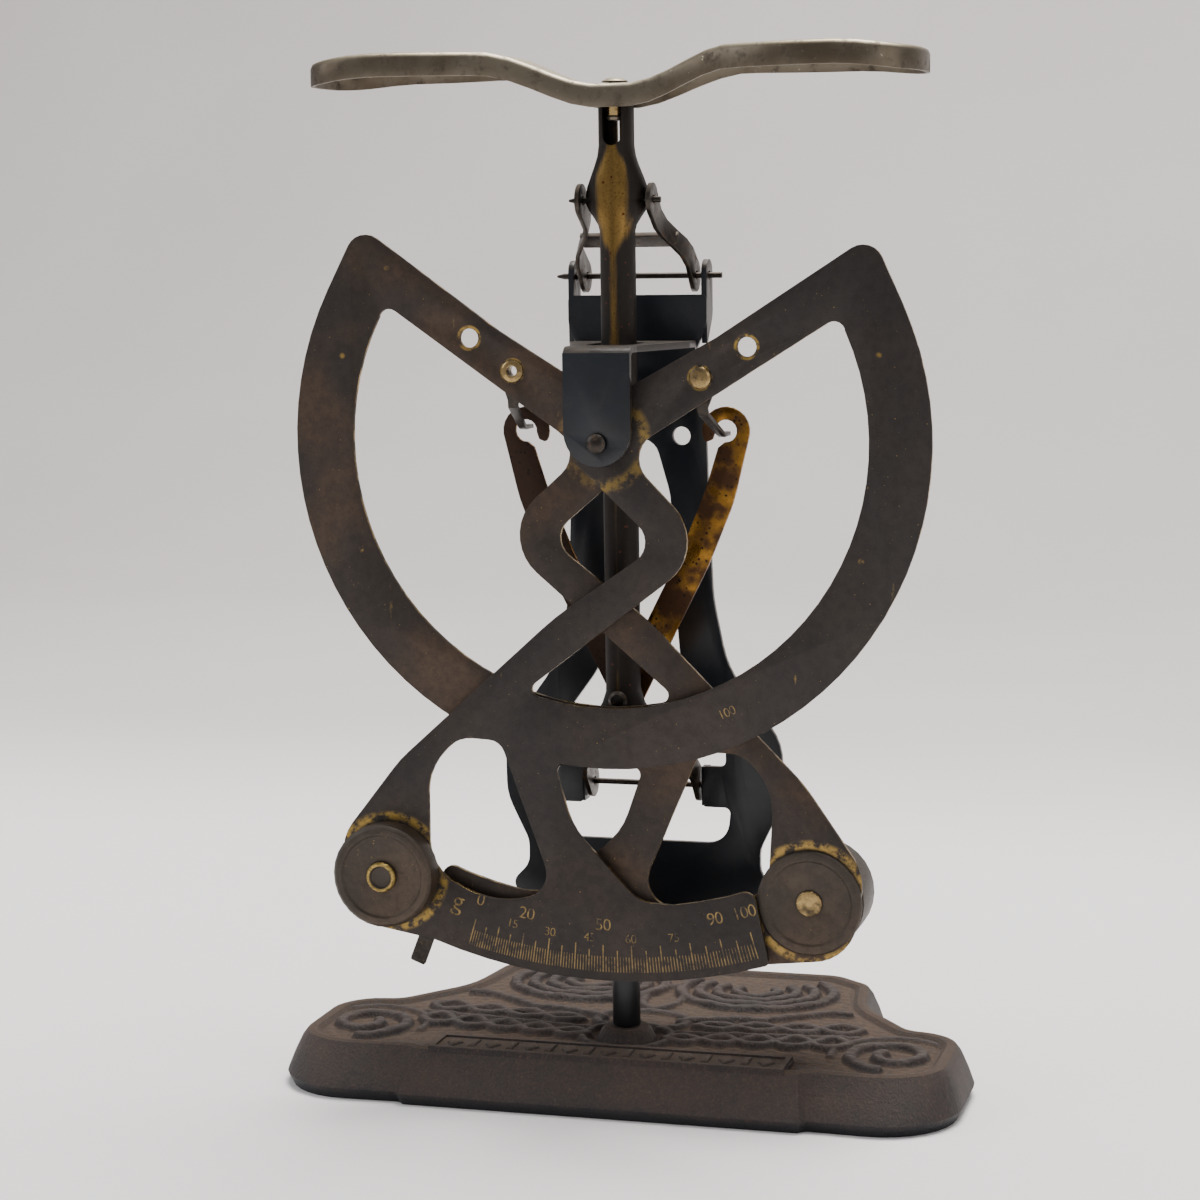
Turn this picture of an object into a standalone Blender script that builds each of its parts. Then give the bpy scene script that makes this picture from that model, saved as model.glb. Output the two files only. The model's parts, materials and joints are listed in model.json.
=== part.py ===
"""Pendulum letter balance with two mirrored pendulums that swing apart under the load plate.

Frame: metres, +Z up, the front faces -Y. The origin is below the middle of the base, on the surface
that it stands on. The pieces are drawn around the axis of the upright load post, which stands nearer
to the base's front. Sizes below are in millimetres and MM turns them into metres.
"""
import math

import bmesh
import bpy
from mathutils import Vector
from mathutils.geometry import delaunay_2d_cdt

MM = 0.001
GAP = 0.3                # clearance between pieces that touch or turn on each other
CHORD_ERROR = 0.045      # how far a drawn arc's chords may run inside it
BASE_STEP = 12.0         # degrees between points on the base's corners
ROUND_SIDES = 24         # sides of a turned piece
HOLE_SIDES = 16
WEIGHT_SIDES = 30

# ---- driving sizes ---------------------------------------------------------------------------
# cast base
BASE_HALF_LENGTH = 69.6
BASE_FRONT_Y = -24.8
BASE_BACK_Y = 59.0
BASE_FRONT_LEAN = 2.9    # extra slope of the front wall
BASE_SWELL = 2.4         # height at which the side wall stands out furthest
BASE_EDGE_TOP = 8.8      # top of the side wall
BASE_FIELD_TOP = 9.4     # sunk field inside the rim bead
BASE_BEAD_TOP = 10.4     # rim bead
BOSS_TOP = 12.3
BOSS_RADIUS = 6.2
BASE_WALL = 3.2
BASE_CEILING = 5.4

# column and frame
COLUMN_RADIUS = 2.8
COLUMN_TOP = 29.4
SHEET = 1.3              # painted steel sheet
FRAME_Y = 14.5           # front face of the upright frame sheet
EAR_SHEET = 1.1
EAR_DEPTH = 5.6          # how far the frame ears reach behind the sheet
UPPER_EAR_X = 13.3       # inner face of an upper ear
LOWER_EAR_X = 12.4       # inner face of a lower ear

# parallel links
FRAME_PIN_Y = 17.3
FRAME_PIN_UPPER_Z = 163.0
POST_PIN_UPPER_Z = 178.0
FRAME_PIN_LOWER_Z = 59.0
LINK_RISE = POST_PIN_UPPER_Z - FRAME_PIN_UPPER_Z
POST_PIN_LOWER_Z = FRAME_PIN_LOWER_Z + LINK_RISE
PIN_RADIUS = 0.6
PIN_HOLE_RADIUS = 0.95
LINK_SHEET = 0.9
LINK_FRONT_X = 7.2       # middle of a link ear at the post
LINK_REAR_X = 11.4       # middle of a link ear at the frame
LINK_HALF_HEIGHT = 3.3

# post and load plate
POST_RADIUS = 3.3
POST_WALL = 0.8
POST_FLARE = 6.3
POST_CREASE = 0.5          # depth of the fold across the upper flare
POST_SEAM = 0.25           # half the width of the seam
POST_BOTTOM = 70.0
POST_TOP = 198.4
PLATE_HALF_LENGTH = 61.3
LOBE_HALF_WIDTH = 15.0
WAIST_HALF_WIDTH = 4.5     # the plate narrows over the post
LOBE_END = 46.0            # where the rounded ends begin
END_DROP = 1.2             # how far the ends droop
PLATE_LOW = 200.4        # top of the plate at its middle
PLATE_HIGH = 206.8       # top of the plate's raised lobes
PLATE_SHEET = 0.8
PLATE_RIM = 4.6          # height of the turned-down rim

# pendulums: a flat plate in its own frame, with the pivot at (0, 0)
PIVOT_Z = 131.5
FRONT_PLATE_Y = -12.4    # front face
REAR_PLATE_Y = -9.9
PENDULUM_SHEET = 1.0
REST_TILT = 1.8          # both plates hang this far round, in degrees
ARC_OUTER = 64.2
ARC_INNER = 52.2
SCALE_OUTER = 106.8
SCALE_INNER = 91.8
ARM_ANGLE = 34.3
ARM_HALF_WIDTH = 4.7
PIVOT_BOSS = 6.8
ARM_HOLE_RADIUS = 1.9
ARM_HOLES = (23.2, 34.1)  # distances of the two arm holes from the pivot
WEIGHT_AT = (-42.8, -88.2)
WEIGHT_RADIUS = 10.4
WEIGHT_HEIGHT = 5.2
REAR_WEIGHT_HEIGHT = 12.0
REAR_CAP_HEIGHT = 0.9
POINTER_ANGLE = -109.6
POINTER_HALF_WIDTH = 1.6
PIVOT_BORE = 1.65
PIVOT_SHANK = 1.3

# bracket that carries the pivot in front
TONGUE_Y = -16.2         # front face
TONGUE_HALF_WIDTH = 6.7
BRIDGE_Z = 148.8         # underside
BRIDGE_HALF_WIDTH = 12.4
SLOT_HALF_WIDTH = 4.7
SLOT_FRONT_Y = -7.7
SLOT_BACK_Y = 4.6
RIVET_X = 9.0
RIVET_Z = 143.6

# knife hangers and the two hooked links
KNIFE_AT = (20.4, 1.2)   # knife edge in a pendulum's own frame
EYE_AT = (20.4, 132.6)
EYE_HOLE = 2.25
EYE_RADIUS = 4.8
HOOK_SHEET = 1.0
HOOK_PIN_Z = 79.5
HOOK_HALF_WIDTH = 3.1
LEFT_HOOK_Y = 3.6        # front face of the left link
RIGHT_HOOK_Y = 5.0

PAINT = (0.016, 0.022, 0.034)
BROWN_BRASS = (0.085, 0.060, 0.045)
GOLD_BRASS = (0.42, 0.29, 0.11)
RUSTY_BRASS = (0.36, 0.22, 0.09)
GREY_STEEL = (0.22, 0.20, 0.18)
DARK_STEEL = (0.06, 0.055, 0.05)
TARNISH = (0.30, 0.26, 0.21)
CAST_BROWN = (0.075, 0.055, 0.045)


# ---- drawing helpers -------------------------------------------------------------------------
def clear_scene():
    for item in list(bpy.data.objects):
        bpy.data.objects.remove(item, do_unlink=True)


def finish(name, colour, roughness, metallic):
    """A Principled material with one colour."""
    made = bpy.data.materials.new(name)
    made.use_nodes = True
    shader = made.node_tree.nodes["Principled BSDF"]
    shader.inputs["Base Color"].default_value = (*colour, 1.0)
    shader.inputs["Roughness"].default_value = roughness
    shader.inputs["Metallic"].default_value = metallic
    return made


def arc_step(radius):
    """Degrees between points on an arc, for chords that stay close to it."""
    return 2.0 * math.degrees(math.acos(1.0 - CHORD_ERROR / max(radius, 4.0 * CHORD_ERROR)))


def arc(centre, radius, start, end):
    """Points on an arc, angles in degrees, both ends included."""
    count = max(2, math.ceil(abs(end - start) / arc_step(radius)))
    angles = [math.radians(start + (end - start) * i / count) for i in range(count + 1)]
    return [(centre[0] + radius * math.cos(a), centre[1] + radius * math.sin(a)) for a in angles]


def circle(centre, radius):
    corners = [polar(radius, 360.0 * i / HOLE_SIDES) for i in range(HOLE_SIDES)]
    return [(centre[0] + u, centre[1] + v) for u, v in corners]


def polar(radius, angle):
    a = math.radians(angle)
    return radius * math.cos(a), radius * math.sin(a)


def rounded(corners, fixed_step=None):
    """A closed outline through (u, v) points and (u, v, radius) corners that are rounded."""
    points = []
    count = len(corners)
    for i, corner in enumerate(corners):
        if len(corner) == 2 or corner[2] == 0.0:
            points.append((corner[0], corner[1]))
            continue
        here = Vector(corner[:2])
        to_last = (Vector(corners[i - 1][:2]) - here)
        to_next = (Vector(corners[(i + 1) % count][:2]) - here)
        half = to_last.angle(to_next) / 2.0
        reach = min(corner[2] / math.tan(half), to_last.length * 0.98, to_next.length * 0.98)
        radius = reach * math.tan(half)
        inward = (to_last.normalized() + to_next.normalized()).normalized()
        middle = here + inward * (radius / math.sin(half))
        first = here + to_last.normalized() * reach - middle
        last = here + to_next.normalized() * reach - middle
        start = math.atan2(first.y, first.x)
        sweep = math.atan2(first.x * last.y - first.y * last.x, first.dot(last))
        step = fixed_step or arc_step(radius)
        steps = max(2, math.ceil(abs(math.degrees(sweep)) / step))
        for k in range(steps + 1):
            a = start + sweep * k / steps
            points.append((middle.x + radius * math.cos(a), middle.y + radius * math.sin(a)))
    return points


def mirrored(points):
    """The outline mirrored left to right, with its direction kept."""
    return [(-u, v) for u, v in reversed(points)]


def symmetric(right_half):
    """A closed outline from its right half, drawn from the top of the middle line to the bottom."""
    left_half = [(-item[0], *item[1:]) for item in reversed(right_half) if item[0] != 0.0]
    return right_half + left_half


def signed_area(points):
    following = points[1:] + points[:1]
    return sum(a[0] * b[1] - b[0] * a[1] for a, b in zip(points, following)) / 2.0


def crossings(point, loop):
    """How many sides of a loop lie to the right of a point."""
    count = 0
    for a, b in zip(loop, loop[1:] + loop[:1]):
        if (a[1] > point[1]) != (b[1] > point[1]):
            if a[0] + (point[1] - a[1]) * (b[0] - a[0]) / (b[1] - a[1]) > point[0]:
                count += 1
    return count


def fill(loops):
    """Triangles between an outline and its holes, as numbers into all the loops' points in a row."""
    flat = [Vector(point) for loop in loops for point in loop]
    sides = []
    first = 0
    for loop in loops:
        sides += [(first + i, first + (i + 1) % len(loop)) for i in range(len(loop))]
        first += len(loop)
    filled = delaunay_2d_cdt(flat, sides, [], 0, 1e-5)
    if len(filled[0]) != len(flat):
        raise ValueError("an outline crosses itself near {}".format(list(filled[0][len(flat):])))
    kept = []
    for triangle in filled[2]:
        middle = sum((filled[0][i] for i in triangle), Vector((0.0, 0.0))) / 3.0
        if sum(crossings(middle, loop) for loop in loops) % 2 == 1:
            kept.append(tuple(filled[3][i][0] for i in triangle))
    return kept


def to_object(name, vertices, faces, look, sharp_angle=40.0):
    """An object from millimetre vertices, with its faces pointing out and round parts smooth."""
    mesh = bpy.data.meshes.new(name)
    mesh.from_pydata([tuple(c * MM for c in vertex) for vertex in vertices], [], faces)
    work = bmesh.new()
    work.from_mesh(mesh)
    bmesh.ops.recalc_face_normals(work, faces=work.faces)
    work.to_mesh(mesh)
    work.free()
    mesh.shade_smooth()
    mesh.set_sharp_from_angle(angle=math.radians(sharp_angle))
    mesh.materials.append(look)
    made = bpy.data.objects.new(name, mesh)
    bpy.context.scene.collection.objects.link(made)
    return made


def prism(name, outline, low, high, look, holes=(), plane="XZ"):
    """A flat sheet: an outline with holes, between two levels along the plane's normal."""
    def place(point, level):
        if plane == "XZ":
            return point[0], level, point[1]
        if plane == "YZ":
            return level, point[0], point[1]
        return point[0], point[1], level

    loops = [outline if signed_area(outline) > 0 else outline[::-1]]
    loops += [hole if signed_area(hole) < 0 else hole[::-1] for hole in holes]
    flat = [point for loop in loops for point in loop]
    triangles = fill(loops)
    total = len(flat)
    vertices = [place(p, low) for p in flat] + [place(p, high) for p in flat]
    faces = [tuple(t) for t in triangles]
    faces += [(t[2] + total, t[1] + total, t[0] + total) for t in triangles]
    first = 0
    for loop in loops:
        size = len(loop)
        for i in range(size):
            a = first + i
            b = first + (i + 1) % size
            faces.append((a, b, b + total, a + total))
        first += size
    return to_object(name, vertices, faces, look)


def turned(name, profile, look, axis="Y", centre=(0.0, 0.0), sides=ROUND_SIDES):
    """A turned solid from a closed (radius, along) profile around a line parallel to the axis."""
    vertices = []
    rings = []
    for radius, along in profile:
        if radius == 0.0:
            rings.append([len(vertices)])
            steps = [(0.0, 0.0)]
        else:
            rings.append(list(range(len(vertices), len(vertices) + sides)))
            steps = [polar(radius, 360.0 * i / sides) for i in range(sides)]
        for a, b in steps:
            if axis == "Y":
                vertices.append((centre[0] + a, along, centre[1] + b))
            elif axis == "X":
                vertices.append((along, centre[0] + a, centre[1] + b))
            else:
                vertices.append((centre[0] + a, centre[1] + b, along))
    closed = profile[0][0] != 0.0
    pairs = list(zip(rings, rings[1:]))
    if closed:
        pairs.append((rings[-1], rings[0]))
    faces = []
    for one, two in pairs:
        for i in range(sides):
            j = (i + 1) % sides
            if len(one) == 1:
                faces.append((one[0], two[j], two[i]))
            elif len(two) == 1:
                faces.append((one[i], one[j], two[0]))
            else:
                faces.append((one[i], one[j], two[j], two[i]))
    return to_object(name, vertices, faces, look)


def loft(name, sections, look, sharp_angle=40.0):
    """A closed solid skinned through sections with the same number of points, capped at both ends."""
    size = len(sections[0])
    vertices = [point for section in sections for point in section]
    faces = []
    for k in range(len(sections) - 1):
        for i in range(size):
            j = (i + 1) % size
            faces.append((k * size + i, k * size + j, (k + 1) * size + j, (k + 1) * size + i))
    for section, first in ((sections[0], 0), (sections[-1], (len(sections) - 1) * size)):
        spans = [max(p[k] for p in section) - min(p[k] for p in section) for k in range(3)]
        across = sorted(range(3), key=lambda k: -spans[k])[:2]
        cap = [(point[across[0]], point[across[1]]) for point in section]
        faces += [tuple(first + i for i in triangle) for triangle in fill([cap])]
    return to_object(name, vertices, faces, look, sharp_angle)


def guide(item):
    """Marks an object as a cutter or a joined-in shape that isn't a piece of its own."""
    item.hide_render = True
    item.display_type = "WIRE"
    return item


def combine(target, other, how):
    """A Boolean on target with a guide object."""
    step = target.modifiers.new(how.lower() + "_" + other.name, "BOOLEAN")
    step.operation = how
    step.solver = "EXACT"
    step.object = guide(other)
    if other.parent is None:
        other.parent = target.parent
    return target


def drill(target, axis, centre, radius, low, high, look):
    """A round hole through target."""
    profile = [(0.0, low), (radius, low), (radius, high), (0.0, high)]
    name = "{}_hole_{}".format(target.name, len(target.modifiers))
    return combine(target, turned(name, profile, look, axis, centre, 16), "DIFFERENCE")


def pivot_empty(name, place, parent=None, tilt=0.0):
    """An empty on a joint's axis, which carries the moving piece's meshes."""
    empty = bpy.data.objects.new(name, None)
    empty.location = tuple(c * MM for c in place)
    empty.rotation_euler = (0.0, math.radians(tilt), 0.0)
    empty.parent = parent
    empty.empty_display_size = 5.0 * MM
    bpy.context.scene.collection.objects.link(empty)
    return empty


# ---- base and column -------------------------------------------------------------------------
def footprint(distance):
    """The base seen from above, moved in by a distance: front panel, two side lobes, broad back."""
    length = BASE_HALF_LENGTH
    right = [(34.0, BASE_BACK_Y, 10.0), (44.0, 51.0, 9.0), (46.5, 33.0, 16.0), (56.5, 19.8, 2.4),
             (length, 17.8, 13.0), (length, BASE_FRONT_Y + 0.3, 16.0), (41.8, BASE_FRONT_Y + 1.5, 0.8),
             (40.6, BASE_FRONT_Y, 0.8)]
    corners = symmetric(right)
    moved = []
    for i, (u, v, radius) in enumerate(corners):
        here = Vector((u, v))
        before = (here - Vector(corners[i - 1][:2])).normalized()
        after = (Vector(corners[(i + 1) % len(corners)][:2]) - here).normalized()
        bend = before.x * after.y - before.y * after.x
        inward = Vector((before.y, -before.x)) + Vector((after.y, -after.x))
        place = here + inward * (distance / (1.0 + before.dot(after)))
        change = -distance if bend < 0.0 else distance
        moved.append((place.x, place.y, max(0.4, radius + change)))
    return rounded(moved, BASE_STEP)


def make_base(look):
    levels = [(4.2 + BASE_WALL, BASE_CEILING), (0.6 + BASE_WALL, 0.0), (1.2, 0.0), (0.0, BASE_SWELL),
              (1.1, 5.6), (2.5, BASE_EDGE_TOP), (3.5, BASE_BEAD_TOP - 0.3), (4.5, BASE_BEAD_TOP),
              (5.5, BASE_BEAD_TOP - 0.2), (6.4, BASE_FIELD_TOP)]
    rings = []
    for depth, height in levels:
        climbed = (height - BASE_SWELL) / (BASE_EDGE_TOP - BASE_SWELL)
        lean = BASE_FRONT_LEAN * min(1.0, max(0.0, climbed))
        rings.append([(u, v + lean * min(1.0, max(0.0, -v / 18.0)), height) for u, v in footprint(depth)])
    size = len(rings[0])
    vertices = [point for ring in rings for point in ring]
    faces = []
    for k in range(len(rings) - 1):
        for i in range(size):
            j = (i + 1) % size
            faces.append((k * size + i, k * size + j, (k + 1) * size + j, (k + 1) * size + i))
    # the hollow's ceiling, and the field between the bead and the central boss
    boss = [(BOSS_RADIUS, BASE_FIELD_TOP), (BOSS_RADIUS - 1.0, BOSS_TOP - 0.8),
            (BOSS_RADIUS - 1.8, BOSS_TOP)]
    bore = [(1.7, BOSS_TOP), (1.7, BASE_CEILING)]
    boss_rings = []
    for radius, height in boss + bore:
        start = len(vertices)
        vertices += [(*polar(radius, 360.0 * i / ROUND_SIDES), height) for i in range(ROUND_SIDES)]
        boss_rings.append(list(range(start, start + ROUND_SIDES)))
    for one, two in zip(boss_rings, boss_rings[1:]):
        for i in range(ROUND_SIDES):
            j = (i + 1) % ROUND_SIDES
            faces.append((one[i], one[j], two[j], two[i]))
    last = (len(rings) - 1) * size
    for ring_start, hole in ((last, boss_rings[0]), (0, boss_rings[-1])):
        outer = list(range(ring_start, ring_start + size))
        index = outer + hole
        loops = [[vertices[i][:2] for i in loop] for loop in (outer, hole)]
        faces += [tuple(index[i] for i in triangle) for triangle in fill(loops)]
    base = to_object("base", vertices, faces, look, 30.0)
    # raised front plaque, left blank
    front = BASE_FRONT_Y + BASE_FRONT_LEAN + 6.8
    plaque_outline = rounded([(-36.5, front + 6.0, 1.5), (36.5, front + 6.0, 1.5),
                              (36.5, front, 1.5), (-36.5, front, 1.5)])
    plaque = prism("base_plaque", plaque_outline, BASE_FIELD_TOP - 1.0, BASE_BEAD_TOP - 0.2, look,
                   plane="XY")
    return combine(base, plaque, "UNION")


def make_column(look, steel):
    low = BOSS_TOP + GAP
    column = turned("column", [(1.7, low), (COLUMN_RADIUS, low), (COLUMN_RADIUS, COLUMN_TOP - 0.4),
                               (COLUMN_RADIUS - 0.4, COLUMN_TOP), (1.7, COLUMN_TOP)], look, "Z")
    head_top = BASE_CEILING - GAP
    turned("base_screw", [(0.0, head_top - 2.0), (2.2, head_top - 2.0), (3.2, head_top - 1.2),
                          (3.2, head_top), (1.35, head_top), (1.35, COLUMN_TOP - 9.0),
                          (0.0, COLUMN_TOP - 9.0)], steel, "Z")
    foot_top = COLUMN_TOP + GAP + SHEET
    turned("foot_screw", [(0.0, foot_top + 2.2), (1.9, foot_top + 1.9), (2.9, foot_top + GAP + 0.5),
                          (2.9, foot_top + GAP), (1.35, foot_top + GAP), (1.35, COLUMN_TOP - 7.5),
                          (0.0, COLUMN_TOP - 7.5)], steel, "Z")
    return column


# ---- frame and bracket -----------------------------------------------------------------------
def frame_outline():
    right = [(0.0, 159.2), (14.4, 159.2, 1.0), (14.4, 153.5, 4.0), (11.7, 147.0, 4.0), (13.9, 139.0, 5.0),
             (14.4, 118.0, 40.0), (15.2, 98.0, 30.0), (18.0, 84.0, 20.0), (29.4, 68.5, 12.0),
             (29.2, 56.0, 12.0), (24.6, 46.5, 5.0), (24.6, 41.5, 4.0), (29.0, 37.0, 2.2),
             (24.0, 33.4, 4.0), (8.6, 30.6, 2.5), (0.0, 30.6)]
    return rounded(symmetric(right))


def frame_opening():
    right = [(0.0, 130.6), (3.6, 129.6, 4.0), (6.6, 119.0, 14.0), (7.5, 96.0, 40.0), (8.4, 84.0, 12.0),
             (17.6, 71.5, 8.0), (17.6, 63.4, 1.2), (LOWER_EAR_X + 0.4, 63.4, 0.6),
             (LOWER_EAR_X + 0.4, 55.0, 0.6), (18.6, 55.0, 1.2), (17.8, 47.5, 4.6), (0.0, 47.5)]
    return rounded(symmetric(right))


def make_frame(look):
    back = FRAME_Y + SHEET
    shoulder_holes = [circle((side * 9.0, 130.9), ARM_HOLE_RADIUS) for side in (-1, 1)]
    rivet_holes = [circle((side * RIVET_X, RIVET_Z), 1.3) for side in (-1, 1)]
    frame = prism("frame", frame_outline(), FRAME_Y, back, look,
                  [frame_opening()] + shoulder_holes + rivet_holes)
    ear_back = FRAME_Y + EAR_DEPTH
    for side in (-1, 1):
        label = "left" if side < 0 else "right"
        upper = rounded([(FRAME_Y + 0.5, 149.5), (back - 0.1, 149.5), (ear_back, 155.0, 3.0),
                         (ear_back, 166.2, 2.6), (FRAME_Y + 0.3, 166.2, 2.6), (FRAME_Y + 0.3, 158.0)])
        inner = UPPER_EAR_X if side > 0 else -UPPER_EAR_X - EAR_SHEET
        ear = prism("upper_ear_" + label, upper, inner, inner + EAR_SHEET - 0.02, look, plane="YZ")
        combine(frame, ear, "UNION")
        lower = rounded([(FRAME_Y + 0.4, 55.2), (ear_back, 55.2, 2.6), (ear_back, 63.2, 2.6),
                         (FRAME_Y + 0.4, 63.2)])
        inner = LOWER_EAR_X if side > 0 else -LOWER_EAR_X - EAR_SHEET
        ear = prism("lower_ear_" + label, lower, inner, inner + EAR_SHEET, look, plane="YZ")
        combine(frame, ear, "UNION")
    # the foot turned forward at the bottom, on top of the column
    low = COLUMN_TOP + GAP
    foot = rounded([(-8.2, back - 0.2), (-8.2, 3.0, 5.0), (-5.6, -5.6, 5.0), (5.6, -5.6, 5.0),
                    (8.2, 3.0, 5.0), (8.2, back - 0.2)])
    foot_hole = circle((0.0, 0.0), 1.7)
    combine(frame, prism("frame_foot", foot, low, low + SHEET, look, [foot_hole], "XY"), "UNION")
    for z in (FRAME_PIN_UPPER_Z, FRAME_PIN_LOWER_Z):
        drill(frame, "X", (FRAME_PIN_Y, z), PIN_HOLE_RADIUS, -20.0, 20.0, look)
    return frame


def make_bracket(look, steel):
    """The tongue in front, the slotted bridge round the post and the foot riveted to the frame."""
    back = TONGUE_Y + SHEET
    top = BRIDGE_Z + SHEET
    width = TONGUE_HALF_WIDTH
    lower = arc((0.0, PIVOT_Z + 2.2), width, 180.0, 360.0)
    tongue_outline = lower + [(width, top - 1.2), (-width, top - 1.2)]
    bracket = prism("pivot_bracket", tongue_outline, TONGUE_Y, back, look,
                    [circle((0.0, PIVOT_Z), PIVOT_BORE)])
    # the bend between tongue and bridge, drawn from the side
    bend = arc((TONGUE_Y + 2.4, top - 2.4), 2.4, 180.0, 90.0) + [(TONGUE_Y + 5.0, top)]
    bend += [(TONGUE_Y + 5.0, BRIDGE_Z)] + arc((TONGUE_Y + 2.4, top - 2.4), 2.4 - SHEET, 90.0, 180.0)
    bend = [(TONGUE_Y, top - 4.0)] + bend + [(back, top - 4.0)]
    combine(bracket, prism("bracket_bend", bend, -width + 0.02, width - 0.02, look, plane="YZ"), "UNION")
    slot = rounded([(-SLOT_HALF_WIDTH, SLOT_BACK_Y, 1.5), (SLOT_HALF_WIDTH, SLOT_BACK_Y, 1.5),
                    (SLOT_HALF_WIDTH, SLOT_FRONT_Y, 1.5), (-SLOT_HALF_WIDTH, SLOT_FRONT_Y, 1.5)])
    wide = BRIDGE_HALF_WIDTH
    bridge = rounded([(-width, TONGUE_Y + 4.0), (width, TONGUE_Y + 4.0), (width, -11.0, 3.0),
                      (wide, 8.6, 3.0), (wide, FRAME_Y - GAP - 0.3), (-wide, FRAME_Y - GAP - 0.3),
                      (-wide, 8.6, 3.0), (-width, -11.0, 3.0)])
    bridge_sheet = prism("bracket_bridge", bridge, BRIDGE_Z + 0.01, top - 0.01, look, [slot], "XY")
    combine(bracket, bridge_sheet, "UNION")
    foot_back = FRAME_Y - GAP
    foot = rounded([(-wide, top - 0.3), (-wide, 139.8, 2.5), (wide, 139.8, 2.5), (wide, top - 0.3)])
    foot = [(u * 0.998, v) for u, v in foot]
    holes = [circle((side * RIVET_X, RIVET_Z), 1.3) for side in (-1, 1)]
    combine(bracket, prism("bracket_foot", foot, foot_back - SHEET, foot_back, look, holes), "UNION")
    for side in (-1, 1):
        front = foot_back - SHEET - GAP
        rear = FRAME_Y + SHEET + GAP
        label = "left" if side < 0 else "right"
        turned("bracket_rivet_" + label,
               [(0.0, front - 1.1), (1.4, front - 0.8), (2.1, front), (1.0, front), (1.0, rear),
                (2.1, rear), (1.4, rear + 0.8), (0.0, rear + 1.1)],
               steel, "Y", (side * RIVET_X, RIVET_Z), 16)
    return bracket


def make_pivot(steel, brass):
    """Pin, collar, spacer and retainer on the pendulums' common axis."""
    centre = (0.0, PIVOT_Z)
    head_back = TONGUE_Y - GAP
    rear_back = REAR_PLATE_Y + PENDULUM_SHEET
    turned("pivot_pin", [(0.0, head_back - 1.2), (1.1, head_back - 1.1), (1.9, head_back - 0.5),
                         (1.9, head_back), (PIVOT_SHANK, head_back), (PIVOT_SHANK, rear_back + 1.2),
                         (0.0, rear_back + 1.2)], steel, "Y", centre)

    def ring(name, low, high, radius, look):
        section = [(PIVOT_BORE, low), (radius, low), (radius, high), (PIVOT_BORE, high)]
        turned(name, section, look, "Y", centre)

    ring("pivot_collar", TONGUE_Y + SHEET + GAP, FRONT_PLATE_Y - GAP, 3.4, brass)
    ring("pivot_spacer", FRONT_PLATE_Y + PENDULUM_SHEET + GAP, REAR_PLATE_Y - GAP, 3.4, brass)
    ring("pivot_retainer", rear_back + GAP, rear_back + 1.3, 2.5, steel)


# ---- pendulums -------------------------------------------------------------------------------
def along_arm(distance, across):
    """A point beside the arm's middle line, across counted to its upper side."""
    a = math.radians(ARM_ANGLE)
    return (distance * math.cos(a) - across * math.sin(a), distance * math.sin(a) + across * math.cos(a))


def front_plate_outline():
    """The front pendulum's outside edge, counter-clockwise from the arm's lower tip."""
    boss = arc((0.0, 0.0), PIVOT_BOSS, 122.0, 222.0)
    tip = along_arm(65.6, ARM_HALF_WIDTH)
    # the outer side of the tip runs on from the arc in a straight line
    leave = math.degrees(math.atan2(tip[1], tip[0]) - math.acos(ARC_OUTER / math.hypot(*tip)))
    upper_corner = rounded([polar(ARC_OUTER, leave), (*tip, 4.0), along_arm(30.0, ARM_HALF_WIDTH)])
    outline = arc((0.0, 0.0), ARC_OUTER, -97.0, leave)
    outline += upper_corner[1:]
    outline += boss
    # inner side of the upper S, the long left edge and the rounded end under the weight
    outline += rounded([boss[-1], (11.5, -19.5, 4.4), (-9.0, -34.6, 60.0), (-41.0, -65.2, 26.0),
                        (-53.4, -82.0, 9.5), (-51.0, -99.4, 9.0), (-36.0, -100.6)])[1:-1]
    outline += arc((0.0, 0.0), SCALE_OUTER, -108.2, -71.2)
    outline += rounded([polar(SCALE_OUTER, -71.0), (*polar(SCALE_OUTER, -70.6), 0.8),
                        (*polar(SCALE_INNER - 0.1, -69.6), 2.2), polar(SCALE_INNER, -74.0)])[1:-1]
    outline += arc((0.0, 0.0), SCALE_INNER, -73.0, -80.0)
    outline += rounded([polar(SCALE_INNER, -80.5), (9.0, -90.2, 7.0), (-4.8, -76.4, 14.0),
                        (-8.6, -64.4, 1.5), polar(ARC_OUTER, -96.0)])[1:-1]
    return outline


def sector_opening():
    """The large D-shaped opening between the arm, the arc band and the S-shaped strip."""
    start = arc((0.0, 0.0), ARC_INNER, -103.0, 26.0)
    corner = rounded([polar(ARC_INNER, 20.0), (*polar(ARC_INNER + 0.4, 29.2), 2.2),
                      along_arm(30.0, -ARM_HALF_WIDTH)])
    outline = start + corner[1:-1]
    outline += rounded([along_arm(20.0, -ARM_HALF_WIDTH), (4.0, -1.9, 5.2), (22.2, -19.5, 9.7),
                        (-15.6, -50.1, 2.5), polar(ARC_INNER, -103.6)])[1:-1]
    return outline


def lower_opening():
    """The pear-shaped opening above the scale band."""
    return rounded([(-20.0, -60.0, 3.4), (-8.4, -89.4, 5.2), (-20.5, -93.4, 18.0), (-34.4, -87.0, 9.0),
                    (-35.0, -66.5, 12.0), (-28.6, -59.8, 6.5)])


def make_plate(name, front_y, look, flip):
    """One pendulum plate. The rear one is the front one mirrored."""
    outline = front_plate_outline()
    openings = [sector_opening(), lower_opening(), circle((0.0, 0.0), PIVOT_BORE)]
    openings += [circle(along_arm(distance, 0.0), ARM_HOLE_RADIUS) for distance in ARM_HOLES]
    openings.append(circle(WEIGHT_AT, 1.5))
    if flip:
        outline = mirrored(outline)
        openings = [mirrored(opening) for opening in openings]
        openings.append(circle(pointer_rivet_at(), 0.9))
    return prism(name, outline, front_y, front_y + PENDULUM_SHEET, look, openings)


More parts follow.
